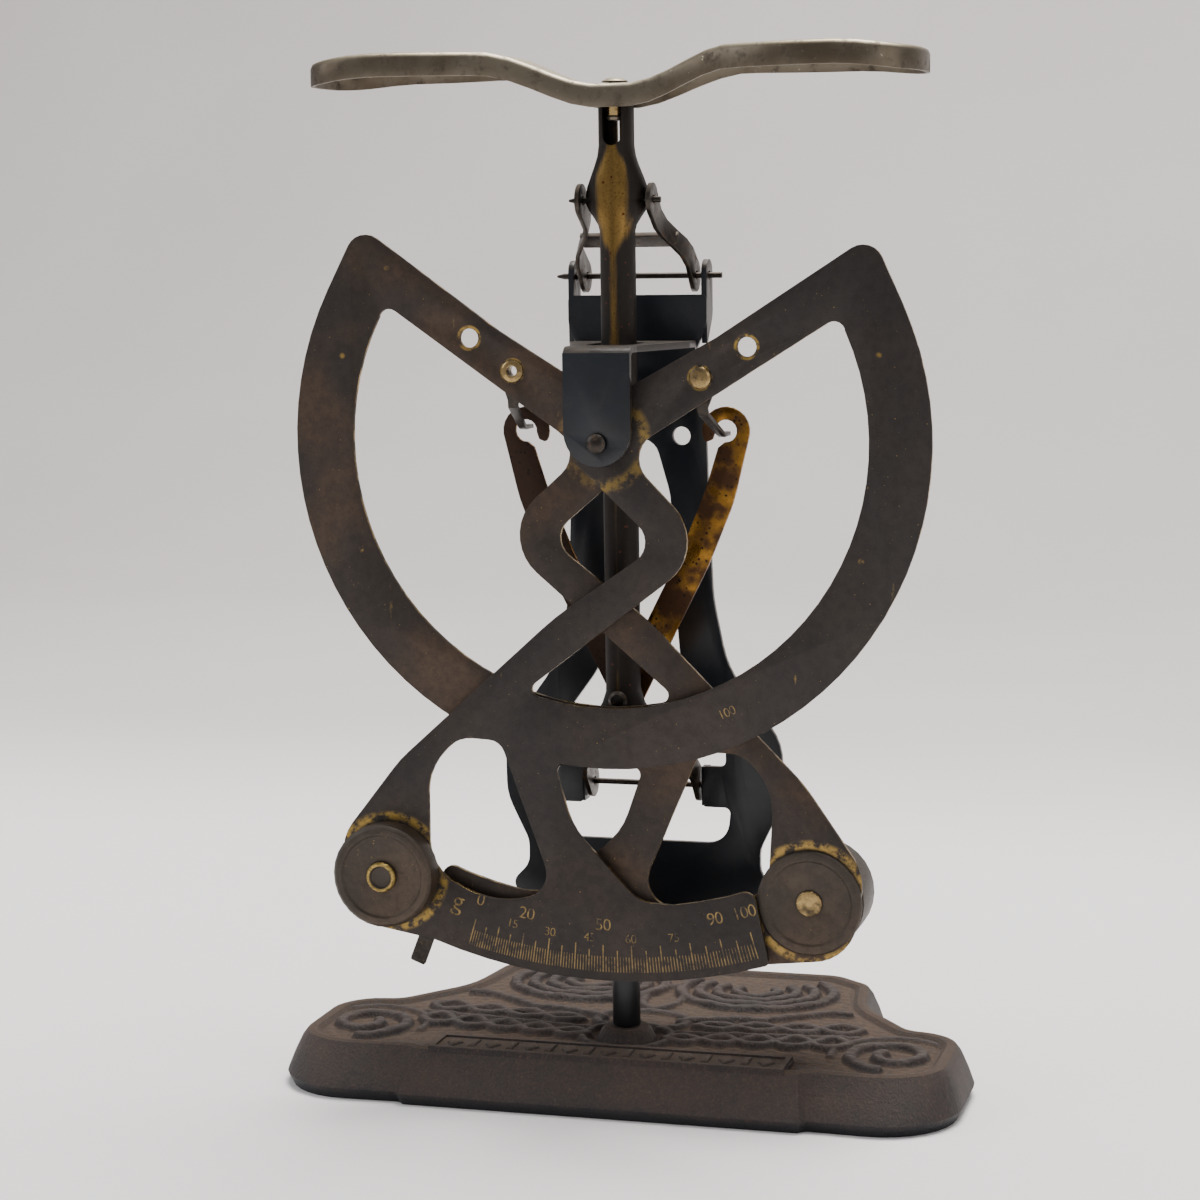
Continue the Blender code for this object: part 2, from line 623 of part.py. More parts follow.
def beside_pointer(radius, across):
    """A point on the pointer's radius, across counted towards the rear plate's scale band."""
    a = math.radians(POINTER_ANGLE)
    return (radius * math.cos(a) - across * math.sin(a), radius * math.sin(a) + across * math.cos(a))


def pointer_rivet_at():
    return beside_pointer(SCALE_OUTER - 6.5, 2.2)


def make_hanger(name, side, plate_back, look):
    """A strip on the back of the arm, bent to the rear into a knife edge inside the hook's eye."""
    foot_y = plate_back + GAP + 0.4
    eyelet = along_arm(ARM_HOLES[0], 0.0)
    knife_u, knife_v = KNIFE_AT
    half = 0.4
    stations = [(eyelet[0], foot_y, eyelet[1] + 2.6, 1.8, 0.0),
                (eyelet[0], foot_y, eyelet[1] + 1.8, 2.6, 0.0),
                (eyelet[0], foot_y, eyelet[1] - 2.4, 2.6, 0.0), (eyelet[0] + 0.2, foot_y, 7.2, 1.1, 0.0),
                (eyelet[0] + 0.4, foot_y + 0.5, 6.0, 1.0, 45.0),
                (knife_u - 0.1, 0.6, knife_v + 0.5, 0.8, 70.0),
                (knife_u, 1.8, knife_v, 0.7, 90.0), (knife_u, 6.8, knife_v, 0.6, 90.0)]
    sections = []
    for u, y, z, width, lean in stations:
        a = math.radians(lean)
        off_y = half * math.cos(a)
        off_z = half * math.sin(a)
        corners = [(u - width, y - off_y, z - off_z), (u + width, y - off_y, z - off_z),
                   (u + width, y + off_y, z + off_z), (u - width, y + off_y, z + off_z)]
        sections.append([(side * c[0], c[1], c[2]) for c in corners])
    hanger = loft(name, sections, look)
    drill(hanger, "Y", (side * eyelet[0], eyelet[1]), 1.7, foot_y - 2.0, foot_y + 2.0, look)
    return hanger


def make_eyelet(name, side, plate_front, look):
    """The rivet that holds the hanger in the inner arm hole: solid in front, hollow at the rear."""
    eyelet = along_arm(ARM_HOLES[0], 0.0)
    front = plate_front - GAP
    rear = plate_front + PENDULUM_SHEET + GAP + 0.8 + GAP
    if side > 0:
        profile = [(0.0, front - 0.5), (1.7, front - 0.4), (2.2, front), (1.35, front), (1.35, rear),
                   (2.1, rear), (1.8, rear + 0.4), (0.0, rear + 0.4)]
    else:
        profile = [(1.05, front - 0.3), (1.7, front - 0.3), (2.2, front), (1.4, front), (1.4, rear),
                   (2.1, rear), (1.8, rear + 0.4), (1.05, rear + 0.4)]
    return turned(name, profile, look, "Y", (side * eyelet[0], eyelet[1]), 20)


def weight_profile(face, back):
    """A turned weight: a chamfered rim round a sunk face, and a bore for its stud."""
    out = 1 if face > back else -1
    return [(1.5, back), (WEIGHT_RADIUS, back), (WEIGHT_RADIUS, face - out * 0.7),
            (WEIGHT_RADIUS - 0.7, face), (8.5, face), (8.2, face - out * 0.4), (1.5, face - out * 0.4)]


def stud_profile(front, rear):
    """The stud through a weight, with a rolled ring round a sunk middle in front."""
    return [(0.0, front - 0.3), (2.0, front - 0.3), (2.3, front - 0.8), (2.8, front - 0.85),
            (3.1, front - 0.4),
            (3.1, front), (1.15, front), (1.15, rear), (2.3, rear), (1.7, rear + 0.7), (0.0, rear + 0.9)]


def make_pendulum(side, axis, brown, brass, steel):
    """Everything that swings with one plate. Side is 1 for the front and -1 for the rear one."""
    if side > 0:
        label = "front"
        front_y = FRONT_PLATE_Y
    else:
        label = "rear"
        front_y = REAR_PLATE_Y
    back_y = front_y + PENDULUM_SHEET
    pieces = [make_plate(label + "_pendulum", front_y, brown, side < 0)]
    weight_at = (side * WEIGHT_AT[0], WEIGHT_AT[1])
    if side > 0:
        face = front_y - GAP - WEIGHT_HEIGHT
        weight = weight_profile(face, front_y - GAP)
        pieces.append(turned("front_weight", weight, brown, "Y", weight_at, WEIGHT_SIDES))
        pieces.append(turned("front_weight_stud", stud_profile(face + 0.4 - GAP, back_y + GAP), brass,
                             "Y", weight_at, 18))
    else:
        cap_front = front_y - GAP - REAR_CAP_HEIGHT
        cap = [(1.5, front_y - GAP), (WEIGHT_RADIUS, front_y - GAP), (WEIGHT_RADIUS, cap_front + 0.4),
               (WEIGHT_RADIUS - 0.4, cap_front), (8.5, cap_front), (8.2, cap_front + 0.35),
               (1.5, cap_front + 0.35)]
        pieces.append(turned("rear_weight_cap", cap, brown, "Y", weight_at, WEIGHT_SIDES))
        face = back_y + GAP + REAR_WEIGHT_HEIGHT
        weight = weight_profile(face, back_y + GAP)
        pieces.append(turned("rear_weight", weight, brown, "Y", weight_at, WEIGHT_SIDES))
        head = cap_front + 0.35 - GAP
        stud = [(0.0, head - 0.2), (2.4, head - 0.2), (2.6, head), (1.15, head), (1.15, face - 0.4 + GAP),
                (2.6, face - 0.4 + GAP), (1.8, face + 0.5), (0.0, face + 0.7)]
        pieces.append(turned("rear_weight_stud", stud, brass, "Y", weight_at, 18))
        pieces += make_pointer(back_y, steel, brass)
    pieces.append(make_hanger(label + "_knife_hanger", side, back_y, steel))
    pieces.append(make_eyelet(label + "_hanger_eyelet", side, front_y, brass))
    for piece in pieces:
        hang_on(piece, axis)


def hang_on(piece, axis):
    """Parents a piece and its cutters to a joint's empty, with the mesh drawn from that empty."""
    piece.parent = axis
    for step in piece.modifiers:
        if step.type == "BOOLEAN":
            step.object.parent = axis


def make_pointer(plate_back, steel, brass):
    """The index that sticks out below the rear plate's free end, and its rivet."""
    low = plate_back + GAP
    high = low + 0.7
    inner = SCALE_OUTER - 9.5
    outer = SCALE_OUTER + 7.4
    half = POINTER_HALF_WIDTH
    corners = [(*beside_pointer(radius, across), 0.4) for radius, across in
               ((outer, -half), (outer, half), (inner + 6.2, half), (inner + 5.6, 4.2), (inner, 4.2),
                (inner, -half))]
    rivet_at = pointer_rivet_at()
    pointer = prism("pointer", rounded(corners), low, high, steel, [circle(rivet_at, 0.9)])
    front = plate_back - PENDULUM_SHEET - GAP
    rivet = turned("pointer_rivet", [(0.0, front - 0.4), (1.1, front - 0.3), (1.4, front), (0.6, front),
                                     (0.6, high + GAP), (1.4, high + GAP), (1.0, high + GAP + 0.5),
                                     (0.0, high + GAP + 0.6)], brass, "Y", rivet_at, 16)
    return [pointer, rivet]


# ---- post, plate and links -------------------------------------------------------------------
def post_half_width(height):
    """Half the post's width at a height: narrow, with a flare around each link pin."""
    width = POST_RADIUS
    for pin, above, below in ((POST_PIN_UPPER_Z, 10.6, 6.0), (POST_PIN_LOWER_Z, 7.0, 7.0)):
        reach = above if height > pin else below
        width += (POST_FLARE - POST_RADIUS) * (1.0 - smooth_step(abs(height - pin) / reach))
    if abs(height - POST_PIN_UPPER_Z) < 0.1:
        width -= POST_CREASE
    return width


def post_section(height):
    """A rolled channel: round in front, flat behind, with a fine open seam down the back."""
    half = post_half_width(height)
    seam = POST_SEAM
    outer = [(seam, POST_RADIUS - 0.3), (half - 1.0, POST_RADIUS - 0.3), (half, POST_RADIUS - 1.3)]
    outer += [(half * math.cos(math.radians(a)), -POST_RADIUS * math.sin(math.radians(a)))
              for a in range(0, 181, 20)]
    outer += [(-half, POST_RADIUS - 1.3), (-half + 1.0, POST_RADIUS - 0.3), (-seam, POST_RADIUS - 0.3)]
    thin = half - POST_WALL
    depth = POST_RADIUS - POST_WALL
    inner = [(seam, depth - 0.3), (thin - 0.6, depth - 0.3), (thin, depth - 0.9)]
    inner += [(thin * math.cos(math.radians(a)), -depth * math.sin(math.radians(a)))
              for a in range(0, 181, 20)]
    inner += [(-thin, depth - 0.9), (-thin + 0.6, depth - 0.3), (-seam, depth - 0.3)]
    return [(u, v, height) for u, v in outer + inner[::-1]]


def make_post(look):
    heights = [POST_BOTTOM, 72.0, 74.0, 76.0, 78.5, 81.0, 172.0, 173.2, 174.6, 176.0, 177.4, 178.0, 178.6,
               180.5, 182.5, 184.5, 186.5, 188.6, POST_TOP]
    sections = [[(u, v, z) for u, v, z in post_section(height)] for height in heights]
    post = loft("post", sections, look, 30.0)
    # the window in front of the neck, with an arched foot
    window = arc((0.0, 190.4), 1.9, 180.0, 360.0) + [(1.9, POST_TOP + 2.0), (-1.9, POST_TOP + 2.0)]
    combine(post, prism("post_window", window, -5.0, 0.5, look), "DIFFERENCE")
    for z in (POST_PIN_UPPER_Z, POST_PIN_LOWER_Z):
        drill(post, "X", (0.0, z), PIN_HOLE_RADIUS, -9.0, 9.0, look)
    drill(post, "Y", (0.0, HOOK_PIN_Z), 1.25, -6.0, 6.0, look)
    return post


def smooth_step(t):
    """Rises from 0 to 1 with level ends."""
    t = min(1.0, max(0.0, t))
    return t * t * (3.0 - 2.0 * t)


def plate_height(u):
    """Top of the load plate along its length: a dip in the middle, raised lobes, drooping ends."""
    raised = (PLATE_HIGH - PLATE_LOW) * smooth_step((abs(u) - 3.0) / 22.0)
    return PLATE_LOW + raised - END_DROP * smooth_step((abs(u) - LOBE_END) / (PLATE_HALF_LENGTH - LOBE_END))


def plate_edge():
    """The load plate seen from above, from its right tip round by the back, mirrored pair by pair."""
    roundness = 2.0 / 2.6
    end_steps = 8
    end = []
    for i in range(end_steps + 1):
        a = math.radians(90.0 * i / end_steps)
        end.append((LOBE_END + (PLATE_HALF_LENGTH - LOBE_END) * max(0.0, math.cos(a)) ** roundness,
                    LOBE_HALF_WIDTH * math.sin(a) ** roundness))
    side_steps = 24
    side = []
    for i in range(1, side_steps):
        u = LOBE_END * (1.0 - 2.0 * i / side_steps)
        spread = smooth_step((abs(u) - 6.0) / 36.0)
        side.append((u, WAIST_HALF_WIDTH + (LOBE_HALF_WIDTH - WAIST_HALF_WIDTH) * spread))
    back = end + side + [(-u, v) for u, v in reversed(end)]
    return back + [(u, -v) for u, v in reversed(back[1:-1])]


def moved_in(loop, distance):
    """A counter-clockwise loop moved inwards, each point along its own normal."""
    moved = []
    for before, here, after in zip(loop[-1:] + loop[:-1], loop, loop[1:] + loop[:1]):
        along = (Vector(after) - Vector(before)).normalized()
        moved.append((here[0] - along.y * distance, here[1] + along.x * distance))
    return moved


def make_load_plate(look):
    """A thin waisted tray with its rim turned down, drawn as rings from the middle outwards and back."""
    inner = 3.0
    levels = [(inner, 0.0), (1.2, 0.0), (0.35, -0.35), (0.0, -1.2), (0.0, -PLATE_RIM),
              (PLATE_SHEET, -PLATE_RIM), (PLATE_SHEET, -1.5), (1.5, -PLATE_SHEET), (inner, -PLATE_SHEET)]
    edge = plate_edge()
    rings = []
    for distance, drop in levels:
        rings.append([(u, v, plate_height(u) + drop) for u, v in moved_in(edge, distance)])
    size = len(edge)
    vertices = [point for ring in rings for point in ring]
    faces = []
    for k in range(len(rings) - 1):
        for i in range(size):
            j = (i + 1) % size
            faces.append((k * size + i, k * size + j, (k + 1) * size + j, (k + 1) * size + i))
    # strips across the plate between points that mirror each other, and a triangle at each tip
    for start in (0, (len(rings) - 1) * size):
        half = size // 2
        faces.append((start, start + 1, start + size - 1))
        for i in range(1, half - 1):
            faces.append((start + i, start + i + 1, start + size - i - 1, start + size - i))
        faces.append((start + half - 1, start + half, start + half + 1))
    plate = to_object("load_plate", vertices, faces, look, 35.0)
    return drill(plate, "Z", (0.0, 0.0), 1.6, PLATE_LOW - 3.0, PLATE_LOW + 3.0, look)


def make_saddle(brass, tarnish):
    """The block in the neck of the post that the load plate is riveted to, and its rivet."""
    under = plate_height(0.0) - PLATE_SHEET - GAP
    inner = POST_RADIUS - POST_WALL - GAP
    neck = inner - 0.3
    section = [(1.6, under), (2.9, under), (2.9, under - 0.6), (neck, under - 0.6),
               (neck, under - 5.0), (1.6, under - 5.0)]
    saddle = turned("plate_saddle", section, brass, "Z", (0.0, 0.0), 24)
    top = plate_height(0.0) + GAP
    turned("plate_rivet", [(0.0, top + 0.9), (1.5, top + 0.75), (2.6, top + 0.2), (2.6, top), (1.2, top),
                           (1.2, under - 5.0 - GAP), (1.9, under - 5.0 - GAP), (1.7, under - 5.9),
                           (0.0, under - 6.1)], tarnish, "Z", (0.0, 0.0), 24)
    return saddle


def link_side(t):
    """How far out the link's side runs at a fraction t of the way from the post to the frame."""
    t = min(1.0, max(0.0, (t - 0.25) / 0.5))
    return LINK_FRONT_X + (LINK_REAR_X - LINK_FRONT_X) * t * t * (3.0 - 2.0 * t)


def make_link(name, front_z, look):
    """A stamped link: two splayed sides joined by a web."""
    rear_z = front_z - LINK_RISE
    slope = math.atan2(rear_z - front_z, FRAME_PIN_Y)
    length = math.hypot(FRAME_PIN_Y, LINK_RISE)
    high = LINK_HALF_HEIGHT

    def place(along, up):
        return (along * math.cos(slope) - up * math.sin(slope),
                front_z + along * math.sin(slope) + up * math.cos(slope))

    top = [(length * t / 8.0, high - 1.1 * math.sin(math.pi * t / 8.0)) for t in range(0, 9)]
    outline = [polar(high, angle) for angle in range(252, 90, -18)] + top
    outline += [(length + u, v) for u, v in (polar(high, angle) for angle in range(72, -90, -18))]
    outline += [(u, -v) for u, v in reversed(top)]
    outline = [p for i, p in enumerate(outline) if math.dist(p, outline[i - 1]) > 0.02]
    link = None
    for side in (-1, 1):
        vertices = []
        for offset in (-LINK_SHEET / 2.0, LINK_SHEET / 2.0):
            for along, up in outline:
                y, z = place(along, up)
                vertices.append((side * (link_side(along / length) + offset), y, z))
        count = len(outline)
        triangles = fill([outline])
        faces = [tuple(t) for t in triangles] + [tuple(i + count for i in reversed(t)) for t in triangles]
        faces += [(i, (i + 1) % count, (i + 1) % count + count, i + count) for i in range(count)]
        cheek = to_object(name if link is None else name + "_cheek", vertices, faces, look)
        if link is None:
            link = cheek
        else:
            combine(link, cheek, "UNION")
    web_lines = [(11.2, 1.4), (15.2, 1.9), (15.2, 0.9), (11.2, 0.4)]
    reach = link_side(13.2 / length) - 0.1
    web = prism(name + "_web", [place(a, u) for a, u in web_lines], -reach, reach, look, plane="YZ")
    combine(link, web, "UNION")
    for y, z in ((0.0, front_z), (FRAME_PIN_Y, rear_z)):
        drill(link, "X", (y, z), PIN_HOLE_RADIUS, -14.0, 14.0, look)
    return link


def make_axle(name, centre, left, right, look):
    """A thin axle along X with one pointed end."""
    radius = PIN_RADIUS
    return turned(name, [(0.0, -left), (0.25, -left), (radius, -left + 1.6), (radius, right), (0.0, right)],
                  look, "X", centre, 16)


# ---- hooked links ----------------------------------------------------------------------------
def hook_outline():
    """The right hooked link in the X-Z plane: round lower end, bowed strip and open eye."""
    middle = [(0.0, 79.5), (6.9, 93.5), (13.6, 106.6), (19.0, 119.6), (21.6, 129.0)]
    right_side = []
    left_side = []
    for i in range(1, len(middle) - 1):
        ahead = (Vector(middle[i + 1]) - Vector(middle[i - 1])).normalized()
        right = Vector((ahead.y, -ahead.x)) * HOOK_HALF_WIDTH
        right_side.append((middle[i][0] + right.x, middle[i][1] + right.y, 30.0))
        left_side.append((middle[i][0] - right.x, middle[i][1] - right.y, 30.0))
    eye_u, eye_v = EYE_AT
    lean = math.degrees(math.atan2(middle[1][1] - middle[0][1], middle[1][0] - middle[0][0]))
    lower_end = arc(middle[0], HOOK_HALF_WIDTH, lean + 90.0, lean + 270.0)
    outer = arc(EYE_AT, EYE_RADIUS, -8.0, 196.0)
    inner = arc(EYE_AT, EYE_HOLE, 186.0, -96.0)
    rising = rounded([lower_end[-1]] + right_side + [outer[0]])[1:-1]
    lip = (eye_u - 1.6, eye_v - 3.3)
    falling = rounded([lip] + left_side[::-1] + [lower_end[0]])[1:-1]
    jaw = rounded([outer[-1], (eye_u - 4.1, eye_v - 2.3, 0.5), (eye_u - 2.7, eye_v - 1.7, 0.5),
                   inner[0]])[1:-1]
    return lower_end + rising + outer + jaw + inner + [lip] + falling


def make_hook(name, flip, front_y, look):
    outline = hook_outline()
    if flip:
        outline = mirrored(outline)
    return prism(name, outline, front_y, front_y + HOOK_SHEET, look, [circle((0.0, HOOK_PIN_Z), 1.25)])


def make_hook_pin(steel):
    """The pin through the post's lower end that both hooked links hang on."""
    rear = RIGHT_HOOK_Y + HOOK_SHEET + GAP
    front = -POST_RADIUS - GAP
    turned("hook_pin", [(0.0, front - 0.9), (1.3, front - 0.7), (2.0, front), (0.9, front), (0.9, rear),
                        (1.9, rear), (1.4, rear + 0.8), (0.0, rear + 0.9)],
           steel, "Y", (0.0, HOOK_PIN_Z), 16)


def shift_to(item, axis):
    """Parents a piece drawn round the post to an empty, and keeps it where it is."""
    for one in [item] + [step.object for step in item.modifiers if step.type == "BOOLEAN"]:
        one.parent = axis
        one.matrix_parent_inverse = axis.matrix_world.inverted()


def build():
    clear_scene()
    paint = finish("dark_blue_paint", PAINT, 0.45, 0.1)
    brown = finish("brown_patina", BROWN_BRASS, 0.55, 0.7)
    brass = finish("worn_brass", GOLD_BRASS, 0.35, 1.0)
    rusty = finish("speckled_brass", RUSTY_BRASS, 0.5, 0.9)
    steel = finish("grey_steel", GREY_STEEL, 0.5, 0.9)
    dark = finish("dark_steel", DARK_STEEL, 0.5, 0.8)
    tarnish = finish("tarnished_nickel", TARNISH, 0.35, 1.0)
    cast = finish("cast_brown", CAST_BROWN, 0.75, 0.2)

    make_base(cast)
    make_column(paint, dark)
    make_frame(paint)
    make_bracket(paint, dark)
    make_pivot(dark, brass)

    upper_axis = pivot_empty("upper_link_axis", (0.0, FRAME_PIN_Y, FRAME_PIN_UPPER_Z))
    lower_axis = pivot_empty("lower_link_axis", (0.0, FRAME_PIN_Y, FRAME_PIN_LOWER_Z))
    post_axis = pivot_empty("post_axis", (0.0, 0.0, POST_PIN_UPPER_Z))
    hook_axis = pivot_empty("hook_axis", (0.0, 0.0, HOOK_PIN_Z))
    front_axis = pivot_empty("front_pendulum_axis", (0.0, 0.0, PIVOT_Z), tilt=REST_TILT)
    rear_axis = pivot_empty("rear_pendulum_axis", (0.0, 0.0, PIVOT_Z), tilt=REST_TILT)
    bpy.context.view_layer.update()

    make_pendulum(1, front_axis, brown, brass, dark)
    make_pendulum(-1, rear_axis, brown, brass, dark)

    make_axle("upper_frame_pin", (FRAME_PIN_Y, FRAME_PIN_UPPER_Z), 17.4, 17.0, dark)
    make_axle("lower_frame_pin", (FRAME_PIN_Y, FRAME_PIN_LOWER_Z), 15.4, 15.0, dark)
    shift_to(make_link("upper_link", POST_PIN_UPPER_Z, steel), upper_axis)
    shift_to(make_link("lower_link", POST_PIN_LOWER_Z, steel), lower_axis)

    shift_to(make_post(brass), post_axis)
    shift_to(make_load_plate(tarnish), post_axis)
    shift_to(make_saddle(brass, tarnish), post_axis)
    shift_to(bpy.data.objects["plate_rivet"], post_axis)
    shift_to(make_axle("upper_post_pin", (0.0, POST_PIN_UPPER_Z), 9.6, 9.0, dark), post_axis)
    shift_to(make_axle("lower_post_pin", (0.0, POST_PIN_LOWER_Z), 9.2, 9.0, dark), post_axis)
    make_hook_pin(dark)
    shift_to(bpy.data.objects["hook_pin"], post_axis)
    shift_to(make_hook("left_hook_link", True, LEFT_HOOK_Y, rusty), hook_axis)
    shift_to(make_hook("right_hook_link", False, RIGHT_HOOK_Y, rusty), hook_axis)

    # everything stands on one empty, which puts the origin below the middle of the base
    middle = pivot_empty("balance", (0.0, -(BASE_FRONT_Y + BASE_BACK_Y) / 2.0, 0.0))
    for item in bpy.data.objects:
        if item.parent is None and item is not middle:
            item.parent = middle


build()
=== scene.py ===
"""Looks of an old pendulum letter scale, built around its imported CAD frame.

Everything is in metres in the row frame. MM turns millimetres into metres, and place() takes
millimetres counted from the foot of the load post's axis, which stands on the pivot's plane.
"""

import json
import math

import bmesh
import bpy
import numpy as np
from mathutils import Matrix, Vector


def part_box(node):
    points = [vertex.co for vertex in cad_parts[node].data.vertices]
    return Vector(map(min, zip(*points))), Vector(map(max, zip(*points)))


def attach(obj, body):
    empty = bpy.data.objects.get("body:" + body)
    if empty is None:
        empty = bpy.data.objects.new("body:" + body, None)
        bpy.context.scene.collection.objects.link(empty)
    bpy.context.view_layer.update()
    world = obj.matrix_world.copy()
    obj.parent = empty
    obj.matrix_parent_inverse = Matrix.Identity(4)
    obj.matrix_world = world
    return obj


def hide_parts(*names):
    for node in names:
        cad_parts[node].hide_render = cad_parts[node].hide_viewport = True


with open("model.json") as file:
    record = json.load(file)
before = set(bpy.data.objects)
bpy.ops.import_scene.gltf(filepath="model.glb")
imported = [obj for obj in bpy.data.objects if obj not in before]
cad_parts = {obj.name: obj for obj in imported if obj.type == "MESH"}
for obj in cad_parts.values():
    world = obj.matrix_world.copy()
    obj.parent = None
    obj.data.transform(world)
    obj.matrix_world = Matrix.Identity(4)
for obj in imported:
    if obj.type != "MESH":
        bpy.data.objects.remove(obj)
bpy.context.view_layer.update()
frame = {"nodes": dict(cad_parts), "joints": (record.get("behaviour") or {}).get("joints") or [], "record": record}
joints = {joint["name"]: joint for joint in frame["joints"]}
body_of = {node: body for body, nodes in frame["record"]["behaviour"]["bodies"].items() for node in nodes}

MM = 0.001
PIVOT = Vector(joints["front_pendulum_swing"]["pos_m"])
POST_Y = joints["post_hinge"]["pos_m"][1]        # the post's axis, front to back
REST_TILT = math.radians(1.8)                    # both plates hang this far round
PLATE_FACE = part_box("front_pendulum")[0].y       # front face of the front plate
POST_FLARE_Z = joints["post_hinge"]["pos_m"][2]
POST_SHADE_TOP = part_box("pivot_bracket")[1].z / MM  # top of the pivot bracket; the post is painted darker below it, as painted shade under the bracket
FIELD_TOP = 9.4 * MM                             # sunk field of the base
BEAD_TOP = 10.4 * MM
RELIEF_TOP = 11.2 * MM
PLAQUE_TOP = 10.2 * MM
PLAQUE_REACH = 37.0 * MM
PLAQUE_BETWEEN = (-15.4, -8.0)                   # the rim's bead is as high, and lies in front of this
RAIL_FOOT = 0.1                                  # how far the plaque's rails go into its ground
RAIL_RISE = 0.4


def place(x, y, z):
    return Vector((x * MM, POST_Y + y * MM, z * MM))


def on_plate(u, v, y, side=1):
    """A point of a pendulum plate, given in its own frame in millimetres, at a depth in metres."""
    a = REST_TILT
    x = side * u * math.cos(a) + v * math.sin(a)
    z = -side * u * math.sin(a) + v * math.cos(a)
    return Vector((PIVOT.x + x * MM, y, PIVOT.z + z * MM))


ARM_ANGLE = math.radians(34.3)
ARM_HOLES = (23.2, 34.1)                         # their distances from the pivot in millimetres


def on_arm(distance, side):
    """A point on the middle line of a plate's arm, its distance from the pivot in millimetres."""
    a = ARM_ANGLE
    return on_plate(distance * math.cos(a), distance * math.sin(a), PIVOT.y, side)


# ---- materials ---------------------------------------------------------------------------------
class Look:
    """A node-based material around one Principled shader, with coordinates in millimetres."""

    def __init__(self, name):
        self.material = bpy.data.materials.new(name)
        self.material.use_nodes = True
        self.nodes = self.material.node_tree.nodes
        self.links = self.material.node_tree.links
        self.shader = self.nodes["Principled BSDF"]
        coordinates = self.nodes.new("ShaderNodeTexCoord")
        mapping = self.nodes.new("ShaderNodeMapping")
        mapping.inputs["Scale"].default_value = (1000.0, 1000.0, 1000.0)
        self.links.new(coordinates.outputs["Object"], mapping.inputs["Vector"])
        self.here = mapping.outputs["Vector"]

    def stretched(self, scale):
        node = self.nodes.new("ShaderNodeMapping")
        node.inputs["Scale"].default_value = scale
        self.links.new(self.here, node.inputs["Vector"])
        return node.outputs["Vector"]

    def put(self, value, socket):
        if hasattr(value, "links"):
            self.links.new(value, socket)
        else:
            socket.default_value = value

    def noise(self, scale, detail=4.0, roughness=0.6, vector=None):
        node = self.nodes.new("ShaderNodeTexNoise")
        node.inputs["Scale"].default_value = scale
        node.inputs["Detail"].default_value = detail
        node.inputs["Roughness"].default_value = roughness
        self.links.new(vector or self.here, node.inputs["Vector"])
        return node.outputs["Fac"]

    def cells(self, scale):
        """Distance to the nearest of many scattered points, for round spots."""
        node = self.nodes.new("ShaderNodeTexVoronoi")
        node.inputs["Scale"].default_value = scale
        self.links.new(self.here, node.inputs["Vector"])
        return node.outputs["Distance"]

    def ramp(self, value, low, high, start=0.0, end=1.0):
        """Maps low..high smoothly to start..end, clamped."""
        node = self.nodes.new("ShaderNodeMapRange")
        node.interpolation_type = "SMOOTHSTEP"
        self.put(value, node.inputs["Value"])
        node.inputs["From Min"].default_value = low
        node.inputs["From Max"].default_value = high
        node.inputs["To Min"].default_value = start
        node.inputs["To Max"].default_value = end
        return node.outputs["Result"]

    def math(self, how, one, two=0.0):
        node = self.nodes.new("ShaderNodeMath")
        node.operation = how
        self.put(one, node.inputs[0])
        self.put(two, node.inputs[1])
        return node.outputs[0]

    def mix(self, amount, one, two):
        node = self.nodes.new("ShaderNodeMix")
        node.data_type = "RGBA"
        self.put(amount, node.inputs["Factor"])
        self.put(one if hasattr(one, "links") else (*one, 1.0), node.inputs["A"])
        self.put(two if hasattr(two, "links") else (*two, 1.0), node.inputs["B"])
        return node.outputs["Result"]

    def upward(self, low=0.2, high=0.9):
        """How far a surface faces up, for dust that settles on it."""
        geometry = self.nodes.new("ShaderNodeNewGeometry")
        parts = self.nodes.new("ShaderNodeSeparateXYZ")
        self.links.new(geometry.outputs["Normal"], parts.inputs["Vector"])
        return self.ramp(parts.outputs["Z"], low, high)

    def distance(self, point, plane=(1.0, 1.0, 1.0)):
        """Millimetres from a point in metres, measured in the plane whose axes are 1."""
        flat = self.nodes.new("ShaderNodeVectorMath")
        flat.operation = "MULTIPLY"
        self.links.new(self.here, flat.inputs[0])
        flat.inputs[1].default_value = plane
        node = self.nodes.new("ShaderNodeVectorMath")
        node.operation = "DISTANCE"
        self.links.new(flat.outputs["Vector"], node.inputs[0])
        node.inputs[1].default_value = tuple(c * scale / MM for c, scale in zip(point, plane))
        return node.outputs["Value"]

    def axis(self, letter):
        parts = self.nodes.new("ShaderNodeSeparateXYZ")
        self.links.new(self.here, parts.inputs["Vector"])
        return parts.outputs[letter]

    def attribute(self, name):
        node = self.nodes.new("ShaderNodeAttribute")
        node.attribute_name = name
        return node.outputs["Fac"]

    def bump(self, height, strength, depth_mm, below=None):
        node = self.nodes.new("ShaderNodeBump")
        node.inputs["Strength"].default_value = strength
        node.inputs["Distance"].default_value = depth_mm * MM
        self.put(height, node.inputs["Height"])
        if below is not None:
            self.links.new(below, node.inputs["Normal"])
        return node.outputs["Normal"]

    def set(self, colour, roughness, metallic, normal=None):
        self.put(colour, self.shader.inputs["Base Color"])
        self.put(roughness, self.shader.inputs["Roughness"])
        self.put(metallic, self.shader.inputs["Metallic"])
        if normal is not None:
            self.links.new(normal, self.shader.inputs["Normal"])
        return self.material


